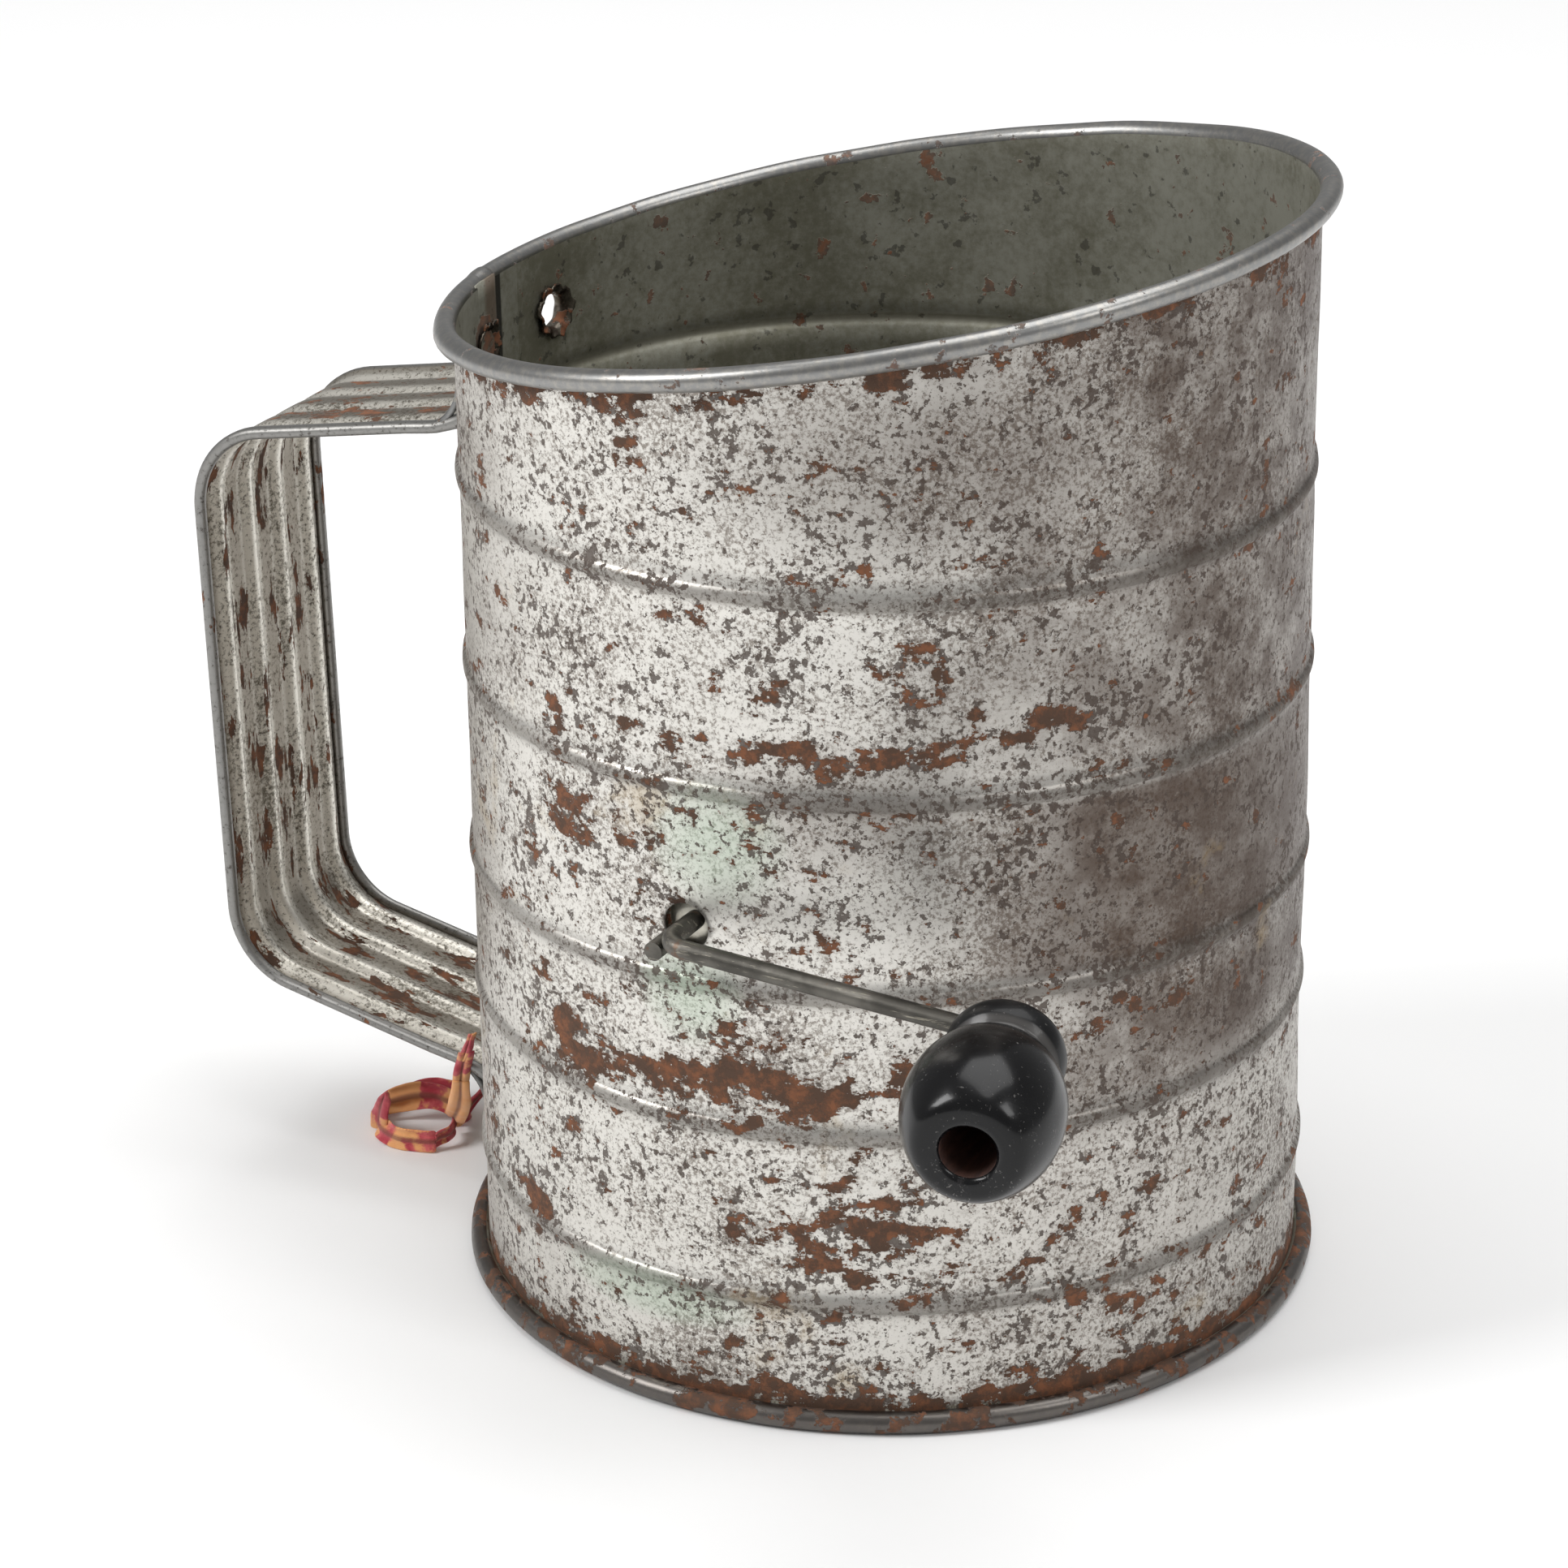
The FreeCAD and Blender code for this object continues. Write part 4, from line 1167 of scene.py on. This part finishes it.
# --- handle -------------------------------------------------------------------------------------
class SIFTER_OT_handle(bpy.types.Operator):
    """Bend the ridged strap handle with its rolled edges, and make its four eyelets"""
    bl_idname = "sifter.handle"
    bl_label = "Handle and eyelets"

    def section(self, x, z):
        """The strap's section across its width: a roll, the ridges and another roll."""
        handle = settings("sifter_handle")
        side = handle.width / 2
        roll = handle.roll_radius - handle.sheet / 2
        tip = Matrix.Rotation(EDGE_CURL, 3, "Z") @ Vector((-roll, 0, 0))
        outline = Outline(Vector((x, -side, z)) + tip)
        outline.arc((x, -side, z), -EDGE_CURL, EDGE_STEPS, axis=Z_AXIS)
        flat = side - roll
        waves, offset = ridge_waves()
        for i in range(STRAP_COLUMNS + 1):
            across = -flat + 2 * flat * i / STRAP_COLUMNS
            lift = handle.ridge_height * max(0.0, math.cos(across * waves + offset)) ** 1.4
            lift *= smoothstep(flat - abs(across), 0, 0.0014)
            outline.run((x - roll * smoothstep(abs(across), flat - 0.001, flat) + lift, across, z))
        outline.run((x - roll, side, z))
        outline.arc((x, side, z), -EDGE_CURL, EDGE_STEPS, axis=Z_AXIS)
        return outline

    def on_can(self):
        """Radius at which the middle of the strap's sheet lies on the can."""
        return settings("sifter_can").radius + settings("sifter_handle").sheet * 0.9

    def path(self):
        """The strap's corners, from its upper foot to its lower one, and their radii."""
        handle = settings("sifter_handle")
        on_can = self.on_can()
        corners = [Vector((-on_can, 0, handle.top_join)),
                   Vector((-handle.top_reach, 0, handle.top_height)),
                   Vector((-handle.low_reach, 0, handle.low_height)),
                   Vector((-on_can, 0, handle.low_join))]
        return corners, (handle.foot_bend, handle.top_bend, handle.low_bend, handle.foot_bend)

    def strap(self, material):
        """Carries the section along the path, by straight runs and by spins at its corners."""
        handle = settings("sifter_handle")
        corners, bends = self.path()
        points = [corners[0] + Z_AXIS, *corners, corners[-1] - Z_AXIS]
        first_turn = (points[1] - points[0]).angle(points[2] - points[1]) / 2
        start = corners[0] + Z_AXIS * (bends[0] * math.tan(first_turn) + handle.foot_height)
        outline = self.section(start.x, start.z)
        mesh = outline.mesh
        edge = mesh.verts[:] + mesh.edges[:]
        place = start.copy()
        for i, radius in enumerate(bends):
            towards = (points[i + 1] - points[i]).normalized()
            away = (points[i + 2] - points[i + 1]).normalized()
            turn = towards.angle(away)
            enter = points[i + 1] - towards * radius * math.tan(turn / 2)
            edge = self.extrude(mesh, edge, enter - place)
            sign = 1 if towards.cross(away).y > 0 else -1
            inward = Y_AXIS.cross(towards) * sign
            centre = enter + inward * radius
            spun = bmesh.ops.spin(mesh, geom=edge, cent=centre, axis=Y_AXIS, angle=sign * turn,
                                  steps=max(6, int(radius * 1400)))
            edge = spun["geom_last"]
            arm = enter - centre
            place = enter + Matrix.Rotation(sign * turn, 3, "Y") @ arm - arm
        self.extrude(mesh, edge, -Z_AXIS * handle.foot_height)
        bmesh.ops.remove_doubles(mesh, verts=mesh.verts, dist=1e-6)
        self.fit_to_can(mesh)
        bmesh.ops.recalc_face_normals(mesh, faces=mesh.faces)
        piece = finished(mesh, "ridged_strap", [material])
        thickened(piece, handle.sheet)
        return applied(piece)

    def extrude(self, mesh, edge, step):
        """Extends the strap by a straight run."""
        count = max(1, round(step.length / STRAP_ROW))
        for _ in range(count):
            edges = [e for e in edge if isinstance(e, bmesh.types.BMEdge)]
            made = bmesh.ops.extrude_edge_only(mesh, edges=edges)
            edge = [e for e in made["geom"] if not isinstance(e, bmesh.types.BMFace)]
            verts = [v for v in edge if isinstance(v, bmesh.types.BMVert)]
            bmesh.ops.translate(mesh, vec=step / count, verts=verts)
        return edge

    def fit_to_can(self, mesh):
        """Curves the strap's feet round the can and flattens their ridges."""
        on_can = self.on_can()
        for vert in mesh.verts:
            near = 1 - smoothstep(-vert.co.x, on_can + 0.0008, on_can + 0.0085)
            flat = math.sqrt(on_can ** 2 - min(abs(vert.co.y), on_can * 0.9) ** 2)
            vert.co.x += (on_can - flat) * near
            foot = 1 - smoothstep(-vert.co.x, flat + 0.0004, flat + 0.004)
            out = -vert.co.x - flat
            vert.co.x -= (0.0003 - out) * foot * (1 if out < 0.0003 else 0.75)

    def eyelet(self, node, material):
        """A hollow rivet: a neat lip outside, and a split, ragged one inside."""
        low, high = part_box(node)
        middle, out = eyelet_place(node)
        barrel = 0.00235
        lip = (high.z - low.z) / 2
        seed = random.Random(node)
        outline = Outline((lip * 1.02, 0, -0.0011))
        outline.run((lip * 0.82, 0, -0.0008), 3)
        outline.run((barrel * 1.12, 0, -0.0007), 3)
        outline.run((barrel, 0, -0.0002), 2)
        outline.run((barrel, 0, 0.0006), 2)
        outline.run((barrel * 1.12, 0, 0.0010), 2)
        outline.run((lip * 0.8, 0, 0.0011), 2)
        outline.run((lip * 0.95, 0, 0.0008), 2)
        mesh = outline.spun(56)
        shift = Vector((seed.random(), seed.random(), seed.random())) * 9
        for vert in mesh.verts:
            inner = smoothstep(-vert.co.z, 0.0005, 0.0011)
            side = Vector((vert.co.x, vert.co.y, 0)).normalized()
            jag = noise.noise(side * 2.6 + shift) + 0.5 * noise.noise(side * 7 + shift)
            vert.co += side * 0.0009 * jag * inner
            vert.co.z -= 0.0005 * abs(jag) * inner
            vert.co += side * 0.0003 * noise.noise(side * 2 - shift)
        turn = out.to_track_quat("Z", "Y").to_matrix().to_4x4()
        bmesh.ops.transform(mesh, matrix=Matrix.Translation(middle) @ turn, verts=mesh.verts)
        piece = finished(mesh, node.replace("eyelet_", "riveted_eyelet_"), [material])
        thickened(piece, 0.0003)
        return adopt(applied(piece), "can", "handle_tin", node)

    def execute(self, context):
        tin = strap_tin()
        strap = self.strap(tin)
        cut_holes(strap, eyelet_cutters(0.004, tin))
        adopt(strap, "can", "handle_tin", "handle_strap")
        rusty = small_tin("eyelet tin", EYELET_LIGHT, EYELET_DARK, 0.52)
        for node in EYELETS:
            self.eyelet(node, rusty)
        dress(drawn_wire("handle edge wire", settings("sifter_finish").steel),
              "handle_edge_wire_front", "handle_edge_wire_back")
        return {"FINISHED"}


# --- ribbon -------------------------------------------------------------------------------------
class SIFTER_OT_ribbon(bpy.types.Operator):
    """Tie the faded ribbon to the handle's foot and let its tail curl on the table"""
    bl_idname = "sifter.ribbon"
    bl_label = "Ribbon"

    def route(self):
        """The points of one smooth curve through the ribbon's route."""
        data = bpy.data.curves.new("ribbon_route", "CURVE")
        data.dimensions = "3D"
        data.resolution_u = 8
        spline = data.splines.new("NURBS")
        spline.points.add(len(RIBBON_ROUTE) - 1)
        for point, place in zip(spline.points, RIBBON_ROUTE):
            point.co = (*place, 1.0)
        spline.order_u = 3
        spline.use_endpoint_u = True
        curve = placed("ribbon_route", data)
        mesh = bpy.data.meshes.new_from_object(curve)
        points = [v.co.copy() for v in mesh.vertices]
        bpy.data.objects.remove(curve)
        bpy.data.meshes.remove(mesh)
        return points

    def strip(self, name, points, sides, lifts, material):
        """A strip along points, with half its width as a vector at each, creased by lifts."""
        ribbon = settings("sifter_ribbon")
        mesh = bmesh.new()
        bmesh.ops.create_grid(mesh, x_segments=RIBBON_COLUMNS - 1, y_segments=len(points) - 1,
                              size=0.5, calc_uvs=True)
        weave = mesh.loops.layers.uv.new("weave")
        for face in mesh.faces:
            for loop in face.loops:
                loop[weave].uv = (loop.vert.co.x + 0.5, loop.vert.co.y + 0.5)
        for vert in mesh.verts:
            across = vert.co.x * 2
            index = min(len(points) - 1, round((vert.co.y + 0.5) * (len(points) - 1)))
            ahead = points[min(index + 1, len(points) - 1)] - points[max(index - 1, 0)]
            out = sides[index].cross(ahead).normalized()
            crease = ribbon.thickness * 0.55 * (abs(math.sin(across * math.pi)) - 0.5)
            vert.co = points[index] + sides[index] * across + out * (crease * lifts)
            crumple = noise.noise(vert.co * 420) + 0.6 * noise.noise(vert.co * 1000)
            vert.co += out * 0.00032 * crumple * lifts
        bmesh.ops.recalc_face_normals(mesh, faces=mesh.faces)
        piece = finished(mesh, name, [material])
        thickened(piece, ribbon.thickness * 0.5)
        smooth = piece.modifiers.new("smooth", "SUBSURF")
        smooth.levels = 1
        smooth.render_levels = 1
        return applied(piece)

    def tail(self, points, material):
        """The strip that hangs from the knot and then stands on its edge on the table."""
        ribbon = settings("sifter_ribbon")
        sides = []
        for i in range(len(points)):
            ahead = (points[min(i + 1, len(points) - 1)] - points[max(i - 1, 0)]).normalized()
            hanging = ahead.cross(RIBBON_FACING).normalized()
            standing = (Z_AXIS - ahead * ahead.z).normalized()
            if hanging.dot(standing) < 0:
                hanging = -hanging
            laid = smoothstep(i / len(points), 0.28, 0.42)
            side = hanging.lerp(standing, laid).normalized()
            wander = noise.noise(Vector((i * 0.11, 3.1, 0.4))) * 0.9 * laid
            side = Matrix.Rotation(wander, 3, ahead) @ side
            pinch = 0.75 + 0.25 * smoothstep(i / len(points), 0.0, 0.10)
            sides.append(side * (pinch * ribbon.width / 2))
        return self.strip("ribbon_tail", points, sides, 1.0, material)

    def ear(self, name, base, tip, width, bend, material, blunt=0.0):
        """A crumpled flap that stands up from the tail."""
        base, tip, bend = Vector(base), Vector(tip), Vector(bend)
        points, sides = [], []
        for i in range(13):
            share = i / 12
            points.append(base.lerp(tip, share) + bend * math.sin(math.pi * share))
            swell = math.sin(math.pi * (0.2 + 0.8 * share)) ** 0.7 * (1 - share * 0.45)
            sides.append(Vector(width) * max(blunt, swell))
        return self.strip(name, points, sides, 1.4, material)

    def execute(self, context):
        ribbon = settings("sifter_ribbon")
        points = self.route()
        faded = ribbon_cloth("faded ribbon", 0.01)
        red = ribbon_cloth("crimson ribbon", 0.14)
        tail = self.tail(points, faded)
        ears = [
            self.ear("ribbon_ear_left", (-0.0760, -0.0086, 0.0008), (-0.0742, -0.0088, 0.0072),
                     (0.0024, -0.0012, 0.0003), (-0.0006, 0.0004, 0), red),
            self.ear("ribbon_fold_back", (-0.0774, -0.0040, 0.0028), (-0.0668, -0.0010, 0.0028),
                     (0.0, 0.0006, 0.0024), (0, 0.0012, 0.0010), faded, 0.75),
            self.ear("ribbon_fold_foot", (-0.0661, -0.0094, 0.0018), (-0.0664, -0.0036, 0.0022),
                     (0.0003, 0.0, 0.0015), (0.0010, 0, 0.0003), red, 0.8),
            self.ear("ribbon_hanger", (-0.0575, -0.0153, 0.0185), (-0.0556, -0.0153, 0.0232),
                     (0.0011, 0.0, 0.0004), (0.0002, 0, 0), faded, 0.5),
            self.ear("ribbon_ear_right", (-0.0672, -0.0018, 0.0012), (-0.0640, 0.0032, 0.0062),
                     (0.0008, 0.0002, 0.0020), (0, 0.0005, 0), red),
        ]
        knot = self.ear("crumpled_knot", (-0.0582, -0.0147, 0.0147), (-0.0566, -0.0153, 0.0203),
                        (0.0014, 0.0003, 0.0004), (0.0, -0.0003, 0.0), faded, 0.85)
        adopt(tail, "can", "ribbon", "ribbon")
        for ear in ears:
            adopt(ear, "can", "ribbon")
        adopt(knot, "can", "ribbon", "ribbon_knot")
        return {"FINISHED"}


# --- stage --------------------------------------------------------------------------------------
class SIFTER_OT_stage(bpy.types.Operator):
    """Lay the floor, and set the lights, the surroundings and the camera"""
    bl_idname = "sifter.stage"
    bl_label = "Stage"

    def soft_light(self, name, place, aim, size, power):
        data = bpy.data.lights.new(name, "AREA")
        data.shape = "RECTANGLE"
        data.size, data.size_y = size
        data.energy = power
        light = placed(name, data)
        light.location = place
        light.rotation_euler = (Vector(aim) - Vector(place)).to_track_quat("-Z", "Y").to_euler()

    def execute(self, context):
        stage = settings("sifter_stage")
        mesh = bmesh.new()
        bmesh.ops.create_circle(mesh, cap_ends=True, segments=96, radius=6.0)
        floor = finished(mesh, "floor", [pale_floor()])

        for softbox in SOFTBOXES:
            self.soft_light(*softbox)

        world = bpy.data.worlds.new("studio")
        world.use_nodes = True
        tree = world.node_tree
        background = tree.nodes["Background"]
        background.inputs["Color"].default_value = (1, 1, 1, 1)
        seen = tree.nodes.new("ShaderNodeLightPath")
        strength = tree.nodes.new("ShaderNodeMapRange")
        strength.inputs["To Min"].default_value = stage.surroundings
        tree.links.new(seen.outputs["Is Camera Ray"], strength.inputs["Value"])
        tree.links.new(strength.outputs["Result"], background.inputs["Strength"])
        bpy.context.scene.world = world
        bpy.context.scene.view_settings.view_transform = "Standard"

        data = bpy.data.cameras.new("camera")
        data.angle = stage.field
        data.clip_start = 0.01
        camera = placed("camera", data)
        upright = Matrix.Rotation(stage.heading, 4, "Z") @ Matrix.Rotation(
            math.pi / 2 - stage.tilt, 4, "X")
        camera.matrix_world = (Matrix.Translation(stage.eye) @ upright
                               @ Matrix.Rotation(-stage.roll, 4, "Z"))
        bpy.context.scene.camera = camera
        return {"FINISHED"}


# --- add-on -------------------------------------------------------------------------------------
OPERATORS = (SIFTER_OT_can, SIFTER_OT_screen, SIFTER_OT_crank, SIFTER_OT_knob,
             SIFTER_OT_handle, SIFTER_OT_ribbon, SIFTER_OT_stage)


class SIFTER_PT_panel(bpy.types.Panel):
    """The pieces of the sifter, and the sizes and colours behind them"""
    bl_idname = "SIFTER_PT_panel"
    bl_label = "Flour sifter"
    bl_space_type = "VIEW_3D"
    bl_region_type = "UI"
    bl_category = "Sifter"

    def draw(self, context):
        for operator in OPERATORS:
            self.layout.operator(operator.bl_idname)
        for name, group in SETTINGS.items():
            box = self.layout.box()
            box.label(text=name.replace("_", " ").capitalize())
            for key in group.__annotations__:
                box.prop(getattr(context.scene, name), key)


def register():
    for group in SETTINGS.values():
        bpy.utils.register_class(group)
    for name, group in SETTINGS.items():
        setattr(bpy.types.Scene, name, bpy.props.PointerProperty(type=group))
    for operator in OPERATORS:
        bpy.utils.register_class(operator)
    bpy.utils.register_class(SIFTER_PT_panel)


def unregister():
    bpy.utils.unregister_class(SIFTER_PT_panel)
    for operator in reversed(OPERATORS):
        bpy.utils.unregister_class(operator)
    for name in SETTINGS:
        delattr(bpy.types.Scene, name)
    for group in reversed(SETTINGS.values()):
        bpy.utils.unregister_class(group)


def main():
    register()
    bpy.ops.sifter.can()
    bpy.ops.sifter.screen()
    bpy.ops.sifter.crank()
    bpy.ops.sifter.knob()
    bpy.ops.sifter.handle()
    bpy.ops.sifter.ribbon()
    bpy.ops.sifter.stage()


if __name__ == "__main__":
    main()
